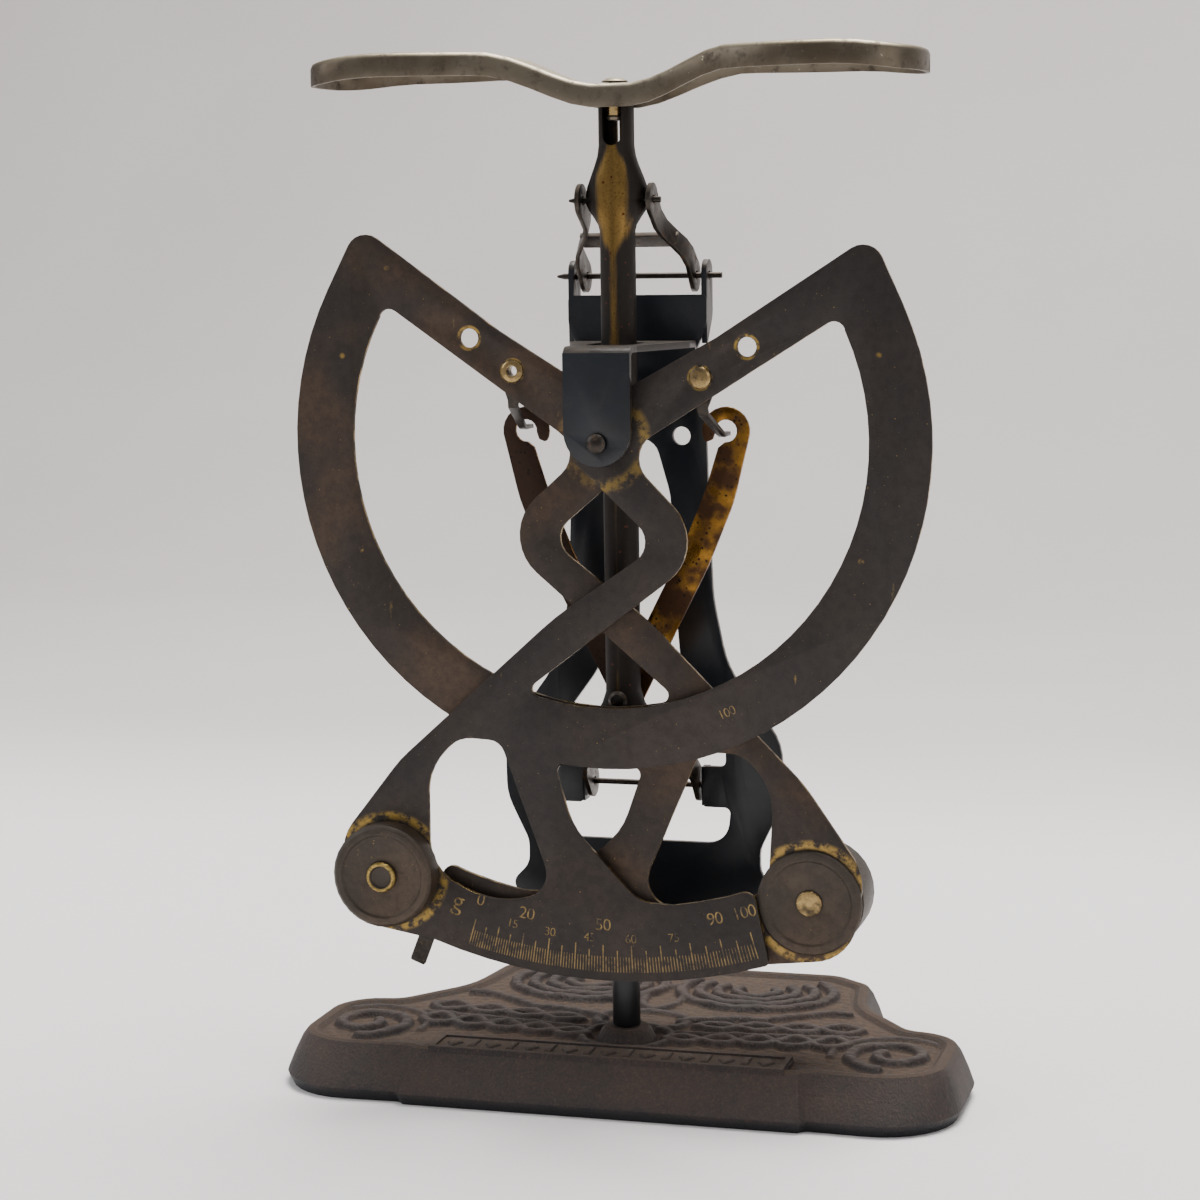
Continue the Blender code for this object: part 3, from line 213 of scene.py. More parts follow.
def bronzed(name, dark, warm, bright, wear, rubbed=()):
    """Brown bronzed sheet brass: cloudy patina, fine pitting, brass showing in specks and rubs.

    Rubbed holds rings (centre, radius, half width, strength) worn bright by a part that turns there.
    """
    look = Look(name)
    clouds = look.ramp(look.noise(0.045, 3.0), 0.38, 0.66)
    mottle = look.ramp(look.noise(0.55, 6.0, 0.7), 0.35, 0.7)
    colour = look.mix(clouds, dark, warm)
    colour = look.mix(look.math("MULTIPLY", mottle, 0.45), colour, tuple(c * 0.45 for c in dark))
    specks = look.ramp(look.noise(2.3, 2.0, 0.5), 0.735 - wear * 0.05, 0.775 - wear * 0.05)
    rubs = look.noise(1.0, 5.0, 0.65, look.stretched((0.32, 0.32, 0.09)))
    rubs = look.ramp(rubs, 0.70 - wear * 0.08, 0.80 - wear * 0.06)
    bare = look.math("MAXIMUM", specks, look.math("MULTIPLY", rubs, 0.65))
    for centre, radius, half_width, strength in rubbed:
        off = look.math("ABSOLUTE", look.math("SUBTRACT", look.distance(centre, (1.0, 0.0, 1.0)), radius))
        ring = look.ramp(off, half_width, half_width * 0.2)
        broken = look.ramp(look.noise(0.5, 5.0, 0.7), 0.40, 0.58, 0.0, strength)
        bare = look.math("MAXIMUM", bare, look.math("MULTIPLY", ring, broken))
    colour = look.mix(bare, colour, bright)
    grain = look.noise(3.2, 5.0, 0.7)
    scratches = look.noise(1.4, 3.0, 0.6, look.stretched((6.0, 6.0, 0.25)))
    rough = look.math("SUBTRACT", look.ramp(grain, 0.3, 0.7, 0.42, 0.62), look.math("MULTIPLY", bare, 0.12))
    normal = look.bump(grain, 0.22, 0.05, look.bump(scratches, 0.12, 0.03))
    return look.set(colour, rough, look.ramp(bare, 0.0, 1.0, 0.55, 1.0), normal)


def brass(name, gold, brown, tarnish, streak=(0.5, 0.5, 0.06), specks=0.0):
    """Bare brass with tarnish in clouds and streaks, and dark specks where it has corroded."""
    look = Look(name)
    clouds = look.noise(0.12, 4.0, 0.6)
    runs = look.noise(1.0, 5.0, 0.65, look.stretched(streak))
    cover = look.ramp(look.math("ADD", look.math("MULTIPLY", clouds, 0.5), look.math("MULTIPLY", runs, 0.5)),
                      0.62 - tarnish * 0.3, 0.78 - tarnish * 0.3)
    colour = look.mix(cover, gold, brown)
    fine = look.noise(2.4, 5.0, 0.7)
    colour = look.mix(look.ramp(fine, 0.5, 0.8, 0.0, 0.55), colour, tuple(c * 0.5 for c in brown))
    if specks:
        spots = look.ramp(look.cells(0.85), 0.34 * specks, 0.16 * specks)
        spots = look.math("MULTIPLY", spots, look.ramp(look.noise(0.35, 3.0), 0.42, 0.58))
        colour = look.mix(spots, colour, (0.012, 0.008, 0.006))
        cover = look.math("MAXIMUM", cover, spots)
    rough = look.ramp(cover, 0.0, 1.0, 0.27, 0.55)
    normal = look.bump(fine, 0.16, 0.05)
    return look.set(colour, rough, look.ramp(cover, 0.0, 1.0, 1.0, 0.72), normal)


def enamel(name, paint, dust_amount):
    """Dark stove enamel with orange peel, chips down to brown metal and dust on what faces up."""
    look = Look(name)
    patches = look.ramp(look.noise(0.09, 3.0), 0.35, 0.7)
    colour = look.mix(patches, paint, tuple(c * 0.35 + 0.002 for c in paint))
    chips = look.ramp(look.noise(0.8, 6.0, 0.75), 0.70, 0.735)
    colour = look.mix(chips, colour, (0.055, 0.034, 0.020))
    settled = look.math("MULTIPLY", look.upward(), look.ramp(look.noise(0.5, 6.0, 0.7), 0.3, 0.6))
    film = look.math("MULTIPLY", look.ramp(look.noise(0.22, 6.0, 0.75), 0.48, 0.78), 0.16)
    dust = look.math("MULTIPLY", look.math("MAXIMUM", settled, film), dust_amount)
    colour = look.mix(dust, colour, (0.17, 0.135, 0.105))
    peel = look.noise(1.6, 3.0)
    lint = look.noise(5.0, 6.0, 0.8)
    rough = look.ramp(look.math("ADD", dust, look.math("MULTIPLY", chips, 0.4)), 0.0, 0.6, 0.36, 0.9)
    normal = look.bump(peel, 0.14, 0.08, look.bump(lint, 0.12, 0.05))
    return look.set(colour, rough, look.ramp(chips, 0.0, 1.0, 0.0, 0.6), normal)


def steel(name, tone, rust, dust_amount):
    look = Look(name)
    clouds = look.ramp(look.noise(0.3, 5.0, 0.65), 0.35, 0.7)
    colour = look.mix(clouds, tone, tuple(c * 0.45 for c in tone))
    rusty = look.ramp(look.noise(0.9, 6.0, 0.7), 0.66 - rust * 0.12, 0.74 - rust * 0.1)
    colour = look.mix(rusty, colour, (0.085, 0.040, 0.018))
    dust = look.math("MULTIPLY", look.upward(), dust_amount)
    colour = look.mix(dust, colour, (0.20, 0.165, 0.13))
    grain = look.noise(3.5, 5.0, 0.7)
    rough = look.ramp(look.math("ADD", rusty, dust), 0.0, 1.0, 0.38, 0.85)
    normal = look.bump(grain, 0.25, 0.05)
    return look.set(colour, rough, look.ramp(look.math("ADD", rusty, dust), 0.0, 1.0, 0.95, 0.2), normal)


def casting(name, hollows):
    """Rough cast iron, brown-black with rust specks and tan dust, and painted shade along its foot. Hollows come
    from an attribute.
    """
    look = Look(name)
    patches = look.ramp(look.noise(0.07, 4.0, 0.6), 0.35, 0.68)
    colour = look.mix(patches, (0.019, 0.014, 0.013), (0.036, 0.021, 0.016))
    tooled = look.noise(1.0, 4.0, 0.6, look.stretched((2.4, 2.4, 0.28)))
    specks = look.ramp(look.noise(2.0, 6.0, 0.75), 0.47, 0.66)
    rust = look.math("MULTIPLY", specks, look.ramp(tooled, 0.40, 0.62))
    colour = look.mix(look.math("MULTIPLY", rust, 0.75), colour, (0.110, 0.056, 0.038))
    pits = look.ramp(look.noise(1.6, 6.0, 0.75), 0.36, 0.7)
    colour = look.mix(look.math("MULTIPLY", pits, 0.6), colour, (0.006, 0.005, 0.006))
    ragged = look.math("MULTIPLY", look.noise(0.3, 4.0), 3.0)
    # painted shade: near black along the bottom few millimetres, for the shadow under the base
    foot = look.ramp(look.math("ADD", look.axis("Z"), ragged), 4.6, 2.6)
    colour = look.mix(foot, colour, (0.006, 0.006, 0.009))
    up = look.upward(0.45, 0.98)
    broken = look.ramp(look.noise(1.1, 7.0, 0.78), 0.34, 0.60, 0.1, 1.0)
    dust = look.math("MULTIPLY", up, broken)
    if hollows:
        dust = look.math("MULTIPLY", dust, look.ramp(look.attribute("hollow"), 0.15, 0.85, 0.22, 0.95))
    else:
        dust = look.math("MULTIPLY", dust, 0.75)
    colour = look.mix(dust, colour, (0.094, 0.063, 0.042))
    grit = look.noise(2.6, 7.0, 0.8)
    coarse = look.noise(0.5, 5.0, 0.7)
    rough = look.ramp(dust, 0.0, 0.6, 0.60, 0.96)
    normal = look.bump(coarse, 0.3, 0.35, look.bump(tooled, 0.8, 0.4, look.bump(grit, 0.6, 0.2)))
    return look.set(colour, rough, look.ramp(dust, 0.0, 0.4, 0.15, 0.0), normal)


def nickel(name):
    """Worn plate over brass: cream on faces that look up, brown and spotted on the rim and below."""
    look = Look(name)
    clouds = look.ramp(look.noise(0.06, 4.0, 0.6), 0.36, 0.68)
    rim = look.mix(clouds, (0.155, 0.132, 0.098), (0.088, 0.068, 0.046))
    top = look.mix(clouds, (0.46, 0.405, 0.290), (0.34, 0.285, 0.190))
    colour = look.mix(look.upward(0.35, 0.9), rim, top)
    stains = look.ramp(look.noise(0.32, 6.0, 0.72), 0.50, 0.70)
    colour = look.mix(look.math("MULTIPLY", stains, 0.75), colour, (0.046, 0.034, 0.024))
    worn = look.ramp(look.noise(0.75, 4.0, 0.6), 0.66, 0.74)
    colour = look.mix(worn, colour, (0.36, 0.32, 0.25))
    fine = look.noise(2.8, 5.0, 0.7)
    lines = look.noise(1.2, 3.0, 0.6, look.stretched((0.2, 5.0, 5.0)))
    rough = look.ramp(stains, 0.0, 1.0, 0.42, 0.66)
    normal = look.bump(fine, 0.2, 0.05, look.bump(lines, 0.12, 0.03))
    return look.set(colour, rough, look.ramp(stains, 0.0, 1.0, 0.85, 0.6), normal)


def rubbed_gilding(name):
    """Gold colour left in engraved marks, worn away in places."""
    look = Look(name)
    worn = look.ramp(look.noise(0.55, 5.0, 0.7), 0.42, 0.62)
    colour = look.mix(worn, (0.30, 0.210, 0.085), (0.064, 0.048, 0.036))
    grain = look.noise(4.0, 4.0, 0.7)
    return look.set(colour, look.ramp(grain, 0.3, 0.7, 0.42, 0.62), look.ramp(worn, 0.0, 1.0, 0.85, 0.5),
                    look.bump(grain, 0.3, 0.03))


def post_finish():
    """The post's brass: gold on the swell and in a thin streak down the front above the bracket, both painted
    highlight, and dark elsewhere as painted shade.
    """
    look = Look("post_brass_painted_light")
    # painted highlight: gold along the front middle line, painted shade on the sides away from it
    off = look.math("ABSOLUTE", look.axis("X"))
    runs = look.noise(1.0, 5.0, 0.65, look.stretched((0.5, 0.5, 0.05)))
    off = look.math("ADD", off, look.math("MULTIPLY", look.math("SUBTRACT", runs, 0.5), 3.0))
    # painted highlight round the swell of the flare
    swell = look.ramp(look.distance((0.0, POST_Y, POST_FLARE_Z)), 12.0, 6.0, -0.9, 1.6)
    # painted shade under the pivot bracket, darker further down
    low = look.ramp(look.axis("Z"), POST_SHADE_TOP - 14.0, POST_SHADE_TOP, 0.8, 0.0)
    # cover here is painted shade, less of it where the painted highlights are
    cover = look.math("ADD", look.math("SUBTRACT", off, swell), low)
    cover = look.ramp(cover, 0.4, 2.1)
    colour = look.mix(cover, (0.225, 0.138, 0.042), (0.009, 0.006, 0.004))
    fine = look.noise(2.4, 5.0, 0.7)
    colour = look.mix(look.ramp(fine, 0.46, 0.76, 0.0, 0.7), colour, (0.024, 0.014, 0.008))
    spots = look.ramp(look.cells(0.5), 0.16, 0.09)
    colour = look.mix(spots, colour, (0.07, 0.018, 0.009))
    rough = look.ramp(cover, 0.0, 1.0, 0.34, 0.6)
    return look.set(colour, rough, look.ramp(cover, 0.0, 1.0, 1.0, 0.55), look.bump(fine, 0.2, 0.05))


def stud_finish(name, centre, ring_radius):
    """A stud whose rolled brass ring is rubbed and whose middle is dark."""
    look = Look(name)
    inner = look.ramp(look.distance(centre, (1.0, 0.0, 1.0)), ring_radius - 0.35, ring_radius)
    fine = look.noise(2.2, 5.0, 0.7)
    dull = look.math("MULTIPLY", inner, look.ramp(fine, 0.72, 0.42))
    colour = look.mix(dull, (0.044, 0.034, 0.026), (0.40, 0.28, 0.085))
    return look.set(colour, look.ramp(fine, 0.3, 0.7, 0.34, 0.58), look.ramp(dull, 0.0, 1.0, 0.5, 1.0),
                    look.bump(fine, 0.2, 0.05))


WEIGHT_CENTRE = tuple((low + high) / 2.0 for low, high in zip(*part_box("front_weight")))
REAR_CENTRE = tuple((low + high) / 2.0 for low, high in zip(*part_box("rear_weight")))
FRONT_RUBS = [(WEIGHT_CENTRE, 11.4, 1.3, 0.9), (tuple(PIVOT), 8.6, 1.9, 0.55)]
REAR_RUBS = [(REAR_CENTRE, 11.4, 1.3, 0.9), (tuple(PIVOT), 8.6, 1.9, 0.3)]
# brass rims of the holes in the arms, and dots struck through the patina of the long arcs
FRONT_RUBS += [(tuple(on_arm(distance, 1)), 2.2, 0.45, 1.0) for distance in ARM_HOLES]
REAR_RUBS += [(tuple(on_arm(distance, -1)), 2.2, 0.45, 1.0) for distance in ARM_HOLES]
DOTS = ((-44.4, 33.9), (-54.1, 16.7), (-50.7, -22.3), (-29.6, -42.4))
REAR_RUBS += [((PIVOT.x + x * MM, PIVOT.y, PIVOT.z + z * MM), 0.0, 0.75, 0.9) for x, z in DOTS]
FRONT_RUBS += [((PIVOT.x - x * MM, PIVOT.y, PIVOT.z + z * MM), 0.0, 0.75, 0.9) for x, z in DOTS[1:]]

PATINA_FRONT = bronzed("patina_front", (0.031, 0.026, 0.024), (0.043, 0.033, 0.028), (0.34, 0.225, 0.060),
                       0.12, FRONT_RUBS)
PATINA_REAR = bronzed("patina_rear", (0.034, 0.026, 0.022), (0.068, 0.043, 0.028), (0.34, 0.225, 0.070),
                      0.25, REAR_RUBS)
PATINA_WEIGHT = bronzed("patina_weight", (0.048, 0.038, 0.030), (0.078, 0.056, 0.040), (0.30, 0.21, 0.08),
                        0.2)
EDGE_BRASS = brass("edge_brass", (0.30, 0.205, 0.080), (0.038, 0.029, 0.022), 0.72, (0.22, 0.22, 0.22))
POST_BRASS = post_finish()
TRIM_BRASS = brass("trim_brass", (0.34, 0.240, 0.105), (0.070, 0.050, 0.028), 0.62, (0.4, 0.4, 0.4))
HOOK_GOLD = brass("hook_gold", (0.300, 0.150, 0.026), (0.060, 0.026, 0.010), 0.70, (0.16, 0.16, 0.16), 0.9)
HOOK_DARK = brass("hook_dark", (0.200, 0.095, 0.024), (0.034, 0.017, 0.010), 1.25, (0.16, 0.16, 0.16), 0.9)
STUD_BRASS = stud_finish("stud_brass", WEIGHT_CENTRE, 2.5)
ENAMEL = enamel("blue_black_enamel", (0.0032, 0.0058, 0.0105), 0.4)
CHIPPED_ENAMEL = enamel("chipped_enamel", (0.020, 0.014, 0.010), 0.3)
BLACK_ENAMEL = enamel("black_enamel", (0.004, 0.005, 0.008), 0.35)
GREY_STEEL = steel("grey_steel", (0.068, 0.059, 0.050), 0.9, 0.7)
DARK_STEEL = steel("dark_steel", (0.042, 0.037, 0.033), 0.8, 0.35)
IRON_WALL = casting("iron_wall", False)
IRON_RELIEF = casting("iron_relief", True)
NICKEL = nickel("worn_nickel")
GILDING = rubbed_gilding("rubbed_gilding")


# ---- visual twins of the CAD nodes -------------------------------------------------------------
def twin(node, look, width, edge_look=None, flat_axis=None, segments=2, sharp=32.0, smooth=40.0):
    """The node's shape with its edges rounded. Faces off flat_axis can take an edge material."""
    mesh = frame["nodes"][node].data.copy()
    mesh.materials.clear()
    mesh.materials.append(look)
    work = bmesh.new()
    work.from_mesh(mesh)
    bmesh.ops.remove_doubles(work, verts=work.verts, dist=1e-6)
    bmesh.ops.dissolve_limit(work, angle_limit=math.radians(0.4), verts=work.verts, edges=work.edges)
    edges = [edge for edge in work.edges
             if len(edge.link_faces) == 2 and edge.calc_face_angle(0.0) > math.radians(sharp)]
    if width:
        bmesh.ops.bevel(work, geom=edges, offset=width * MM, segments=segments, profile=0.6,
                        affect="EDGES", clamp_overlap=True)
    if edge_look is not None:
        mesh.materials.append(edge_look)
        for face in work.faces:
            if abs(face.normal[flat_axis]) < 0.93:
                face.material_index = 1
    for face in work.faces:
        face.smooth = True
    work.to_mesh(mesh)
    work.free()
    mesh.set_sharp_from_angle(angle=math.radians(smooth))
    made = bpy.data.objects.new(node + "_finish", mesh)
    bpy.context.scene.collection.objects.link(made)
    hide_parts(node)
    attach(made, body_of[node])
    return made


twin("front_pendulum", PATINA_FRONT, 0.13, EDGE_BRASS, 1)
twin("rear_pendulum", PATINA_REAR, 0.13, EDGE_BRASS, 1)
for node in ("front_weight", "rear_weight", "rear_weight_cap"):
    twin(node, PATINA_WEIGHT, 0.14)
twin("left_hook_link", HOOK_DARK, 0.12, HOOK_GOLD, 1)
twin("right_hook_link", HOOK_GOLD, 0.12)
twin("post", POST_BRASS, 0.1)
for node in ("frame", "pivot_bracket"):
    twin(node, ENAMEL, 0.18, CHIPPED_ENAMEL, 1)
twin("column", BLACK_ENAMEL, 0.2)
for node in ("upper_link", "lower_link"):
    twin(node, GREY_STEEL, 0.1)
twin("front_weight_stud", STUD_BRASS, 0.06)
for node in ("rear_weight_stud", "pivot_collar", "pivot_spacer", "plate_saddle",
             "front_hanger_eyelet", "rear_hanger_eyelet", "pointer_rivet"):
    twin(node, TRIM_BRASS, 0.06)
for node in ("pivot_pin", "pivot_retainer", "base_screw", "foot_screw", "bracket_rivet_left",
             "bracket_rivet_right", "upper_frame_pin", "lower_frame_pin", "upper_post_pin",
             "lower_post_pin", "hook_pin", "front_knife_hanger", "rear_knife_hanger", "pointer"):
    twin(node, DARK_STEEL, 0.06)
twin("load_plate", NICKEL, 0.1, sharp=60.0)
twin("plate_rivet", NICKEL, 0.08)
twin("base", IRON_WALL, 0.45, sharp=24.0, segments=3, smooth=60.0)


# ---- pieces made here --------------------------------------------------------------------------
def new_piece(name, vertices, faces, look, body, smooth=False):
    mesh = bpy.data.meshes.new(name)
    mesh.from_pydata([tuple(v) for v in vertices], [], faces)
    mesh.materials.append(look)
    if smooth:
        mesh.shade_smooth()
    made = bpy.data.objects.new(name, mesh)
    bpy.context.scene.collection.objects.link(made)
    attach(made, body)
    return made


MARK_RISE = 0.03 * MM


def scale_angle(value):
    """Angle of a scale value in degrees. The divisions open slightly towards the heavy end."""
    return -104.3 + 0.288 * value + 0.0004 * value * value


def make_ticks():
    """The scale's engraved lines, a low bar for each."""
    vertices = []
    faces = []
    for value in range(101):
        if value % 10 == 0:
            inner, half = 99.6, 0.11
        elif value % 5 == 0:
            inner, half = 100.6, 0.10
        else:
            inner, half = 101.9, 0.07
        a = math.radians(scale_angle(value))
        start = len(vertices)
        for depth in (0.0, -MARK_RISE):
            for radius, across in ((inner, -half), (inner, half), (105.0, half), (105.0, -half)):
                u = radius * math.cos(a) - across * math.sin(a)
                v = radius * math.sin(a) + across * math.cos(a)
                vertices.append(on_plate(u, v, PLATE_FACE + depth))
        faces += [tuple(start + i for i in quad) for quad in
                  ((4, 5, 6, 7), (0, 1, 5, 4), (1, 2, 6, 5), (2, 3, 7, 6), (3, 0, 4, 7))]
    return new_piece("scale_divisions", vertices, faces, GILDING, "front_pendulum_body")


def make_numerals():
    """Numbers of the scale and its gram sign, set square to the radius."""
    marks = [(str(value), 95.6, scale_angle(value), 3.5) for value in (0, 20, 50, 90, 100)]
    marks += [(str(value), 98.3, scale_angle(value), 2.5) for value in (15, 30, 45, 60, 75)]
    marks += [("g", 97.4, -106.9, 5.6), ("100", 57.6, -63.2, 2.6)]
    joined = bmesh.new()
    for text, radius, angle, size in marks:
        curve = bpy.data.curves.new("numeral", "FONT")
        curve.body = text
        curve.size = size
        curve.align_x = "CENTER"
        curve.align_y = "CENTER"
        curve.offset = -0.02
        curve.space_character = 0.92
        source = bpy.data.objects.new("numeral", curve)
        bpy.context.scene.collection.objects.link(source)
        bpy.context.view_layer.update()
        shape = bpy.data.meshes.new_from_object(source.evaluated_get(bpy.context.evaluated_depsgraph_get()))
        bpy.data.objects.remove(source)
        a = math.radians(angle)
        turn = a + math.pi / 2.0
        start = len(joined.verts)
        joined.from_mesh(shape)
        joined.verts.ensure_lookup_table()
        for vertex in joined.verts[start:]:
            s, t = vertex.co.x, vertex.co.y
            u = radius * math.cos(a) + s * math.cos(turn) - t * math.sin(turn)
            v = radius * math.sin(a) + s * math.sin(turn) + t * math.cos(turn)
            vertex.co = on_plate(u, v, PLATE_FACE - MARK_RISE)
    top = joined.faces[:]
    sides = bmesh.ops.extrude_face_region(joined, geom=top)
    for item in sides["geom"]:
        if isinstance(item, bmesh.types.BMVert):
            item.co.y += MARK_RISE
    bmesh.ops.recalc_face_normals(joined, faces=joined.faces)
    mesh = bpy.data.meshes.new("scale_numbers")
    joined.to_mesh(mesh)
    joined.free()
    mesh.materials.append(GILDING)
    made = bpy.data.objects.new("scale_numbers", mesh)
    bpy.context.scene.collection.objects.link(made)
    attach(made, "front_pendulum_body")
    return made


make_ticks()
make_numerals()


# ---- cast ornament of the base -----------------------------------------------------------------
GRID_STEP = 0.32 * MM


def field_outline():
    """Edge of the sunk field, read from the base itself and put in order round its middle."""
    points = [v.co for v in frame["nodes"]["base"].data.vertices if abs(v.co.z - FIELD_TOP) < 2e-5]
    points = [(p.x, p.y) for p in points if math.hypot(p.x, p.y - POST_Y) > 8.0 * MM]
    unique = sorted(set((round(x, 6), round(y, 6)) for x, y in points))
    middle = (0.0, POST_Y + 10.0 * MM)
    unique.sort(key=lambda p: math.atan2(p[1] - middle[1], p[0] - middle[0]))
    return np.array(unique)


def segment_distance(points, line):
    """Distance from many points to a polyline, and how far along the nearest place is."""
    best = np.full(len(points), 1e9)
    along = np.zeros(len(points))
    run = 0.0
    for a, b in zip(line, line[1:]):
        side = b - a
        length = float(np.hypot(*side))
        if length < 1e-9:
            continue
        t = np.clip(((points - a) @ side) / length ** 2, 0.0, 1.0)
        gap = np.hypot(*(points - a - t[:, None] * side).T)
        nearer = gap < best
        best[nearer] = gap[nearer]
        along[nearer] = run + t[nearer] * length
        run += length
    return best, along


def inside(points, loop):
    result = np.zeros(len(points), bool)
    for a, b in zip(loop, np.roll(loop, -1, axis=0)):
        crosses = (a[1] > points[:, 1]) != (b[1] > points[:, 1])
        with np.errstate(divide="ignore", invalid="ignore"):
            x = a[0] + (points[:, 1] - a[1]) * (b[0] - a[0]) / (b[1] - a[1])
        result ^= crosses & (points[:, 0] < x)
    return result


def wave_band(start, end, swing, turns, phase):
    """A band that swings to both sides of the line between two points, wider towards its end."""
    points = []
    for i in range(81):
        t = i / 80.0
        off = swing * (0.55 + 0.45 * t) * math.sin(phase + math.pi * turns * t)
        points.append((start[0] + (end[0] - start[0]) * t, start[1] + (end[1] - start[1]) * t + off))
    return points


def ring_part(centre, radii, first, last):
    """Part of an ellipse, its angles in degrees."""
    angles = [math.radians(a) for a in np.linspace(first, last, 30)]
    return [(centre[0] + radii[0] * math.cos(a), centre[1] + radii[1] * math.sin(a)) for a in angles]


def ornament_lines():
    """Ridges of the right half in millimetres from the post: (points, half width, height)."""
    spiral = []
    for t in np.linspace(0.0, 1.0, 70):
        r = 2.4 + 7.2 * t
        a = math.radians(-210.0 + 470.0 * t)
        spiral.append((55.0 + r * math.cos(a), -2.5 + r * math.sin(a)))
    lines = [(spiral, 1.0, 1.5)]
    lines.append((ring_part((55.0, -2.5), (12.4, 13.0), -60.0, 190.0), 0.6, 0.9))
    # bands that cross each other on the way out to the lobe
    for phase in (0.0, math.pi):
        lines.append((wave_band((8.0, -1.0), (45.0, 3.5), 3.6, 5.0, phase), 0.8, 1.4))
        lines.append((wave_band((12.0, 9.5), (46.0, 13.5), 3.2, 4.0, phase), 0.75, 1.35))
    lines.append(([(9.0, 4.0), (24.0, 6.0), (46.0, 8.5)], 0.55, 1.0))
    lines.append((wave_band((8.0, 12.0), (41.0, 25.0), 1.5, 3.0, 0.0), 0.75, 1.35))
    # nested bows over the broad back
    for reach in (4.5, 8.5, 12.5, 16.5):
        lines.append((ring_part((18.5, 38.0), (reach, 0.8 * reach), 150.0, 400.0), 0.95, 1.5))
    lines.append((ring_part((0.0, 30.0), (4.0, 9.0), -90.0, 90.0), 0.7, 1.1))
    lines.append((ring_part((0.0, 12.0), (9.5, 7.0), -60.0, 90.0), 0.75, 1.1))
    lines.append((ring_part((0.0, 0.0), (9.2, 8.6), -100.0, 100.0), 0.7, 1.1))
    return lines


def make_ornament():
    """A relief of generic scrolls and interlaced ribs on the base's sunk field."""
    loop = field_outline()
    low = loop.min(axis=0)
    high = loop.max(axis=0)
    columns = int(round((high[0] - low[0]) / GRID_STEP)) + 1
    rows = int(round((high[1] - low[1]) / GRID_STEP)) + 1
    x, y = np.meshgrid(np.linspace(low[0], high[0], columns), np.linspace(low[1], high[1], rows))
    points = np.column_stack((x.ravel(), y.ravel()))
    edge, _ = segment_distance(points, np.vstack((loop, loop[:1])))
    covered = inside(points, loop)
    half = np.column_stack((np.abs(points[:, 0]), points[:, 1] - POST_Y)) / MM
    relief = np.zeros(len(points))
    for line, width, height in ornament_lines():
        gap, along = segment_distance(half, np.array(line))
        ridge = np.clip(1.0 - (gap / (1.5 * width)) ** 4, 0.0, 1.0)
        relief = np.maximum(relief, ridge * height * (0.92 + 0.08 * np.sin(along * 0.62)))
    from_post = np.hypot(half[:, 0], half[:, 1])
    fade = np.clip(edge / (0.9 * MM), 0.0, 1.0) * np.clip((from_post - 6.3) / 1.0, 0.0, 1.0)
    plaque_low, plaque_high = plaque_span()
    in_plaque = (half[:, 0] < 36.9) & (half[:, 1] > plaque_low - 0.4) & (half[:, 1] < plaque_high + 0.4)
    fade *= np.where(in_plaque, 0.0, 1.0)
    deep = points[:, 1] / MM
    wobble = 0.05 * np.sin(half[:, 0] * 1.9 + np.sin(deep * 1.3) * 2.0)
    wobble += 0.05 * np.sin(deep * 2.3 + half[:, 0] * 0.7)
    risen = (relief + 0.15 + wobble) * fade - 0.25 * (1.0 - fade)
    heights = np.minimum(FIELD_TOP + risen * MM, RELIEF_TOP)
    keep = covered.reshape(rows, columns)
    index = -np.ones(rows * columns, int)
    vertices = []
    faces = []
    hollow = []
    for r in range(rows - 1):
        for c in range(columns - 1):
            if keep[r, c] and keep[r + 1, c] and keep[r, c + 1] and keep[r + 1, c + 1]:
                quad = []
                near = r * columns + c
                for k in (near, near + 1, near + columns + 1, near + columns):
                    if index[k] < 0:
                        index[k] = len(vertices)
                        vertices.append((points[k, 0], points[k, 1], heights[k]))
                        hollow.append(1.0 - min(1.0, relief[k]))
                    quad.append(index[k])
                faces.append(tuple(quad))
    made = new_piece("base_ornament", vertices, faces, IRON_RELIEF, "stand", True)
    layer = made.data.attributes.new("hollow", "FLOAT", "POINT")
    layer.data.foreach_set("value", np.array(hollow, np.float32))
    return made


def plaque_span():
    """Front and back of the raised plaque, in millimetres from the post."""
    points = [v.co for v in frame["nodes"]["base"].data.vertices if abs(v.co.z - PLAQUE_TOP) < 0.01 * MM]
    ys = [(p.y - POST_Y) / MM for p in points if abs(p.x) < PLAQUE_REACH]
    ys = [y for y in ys if PLAQUE_BETWEEN[0] < y < PLAQUE_BETWEEN[1]]
    return min(ys), max(ys)


def slab(vertices, faces, centre, half, bottom, top, draft=0.12):
    """Adds a low block with sloping sides; centre and half sizes in millimetres from the post."""
    start = len(vertices)
    for grow, height in ((draft, bottom), (0.0, top)):
        vertices += [place(centre[0] + (half[0] + grow) * u, centre[1] + (half[1] + grow) * v, height)
                     for u, v in ((-1, -1), (1, -1), (1, 1), (-1, 1))]
    for k in range(4):
        faces.append((start + k, start + (k + 1) % 4, start + 4 + (k + 1) % 4, start + 4 + k))
    faces.append(tuple(start + 4 + k for k in range(4)))


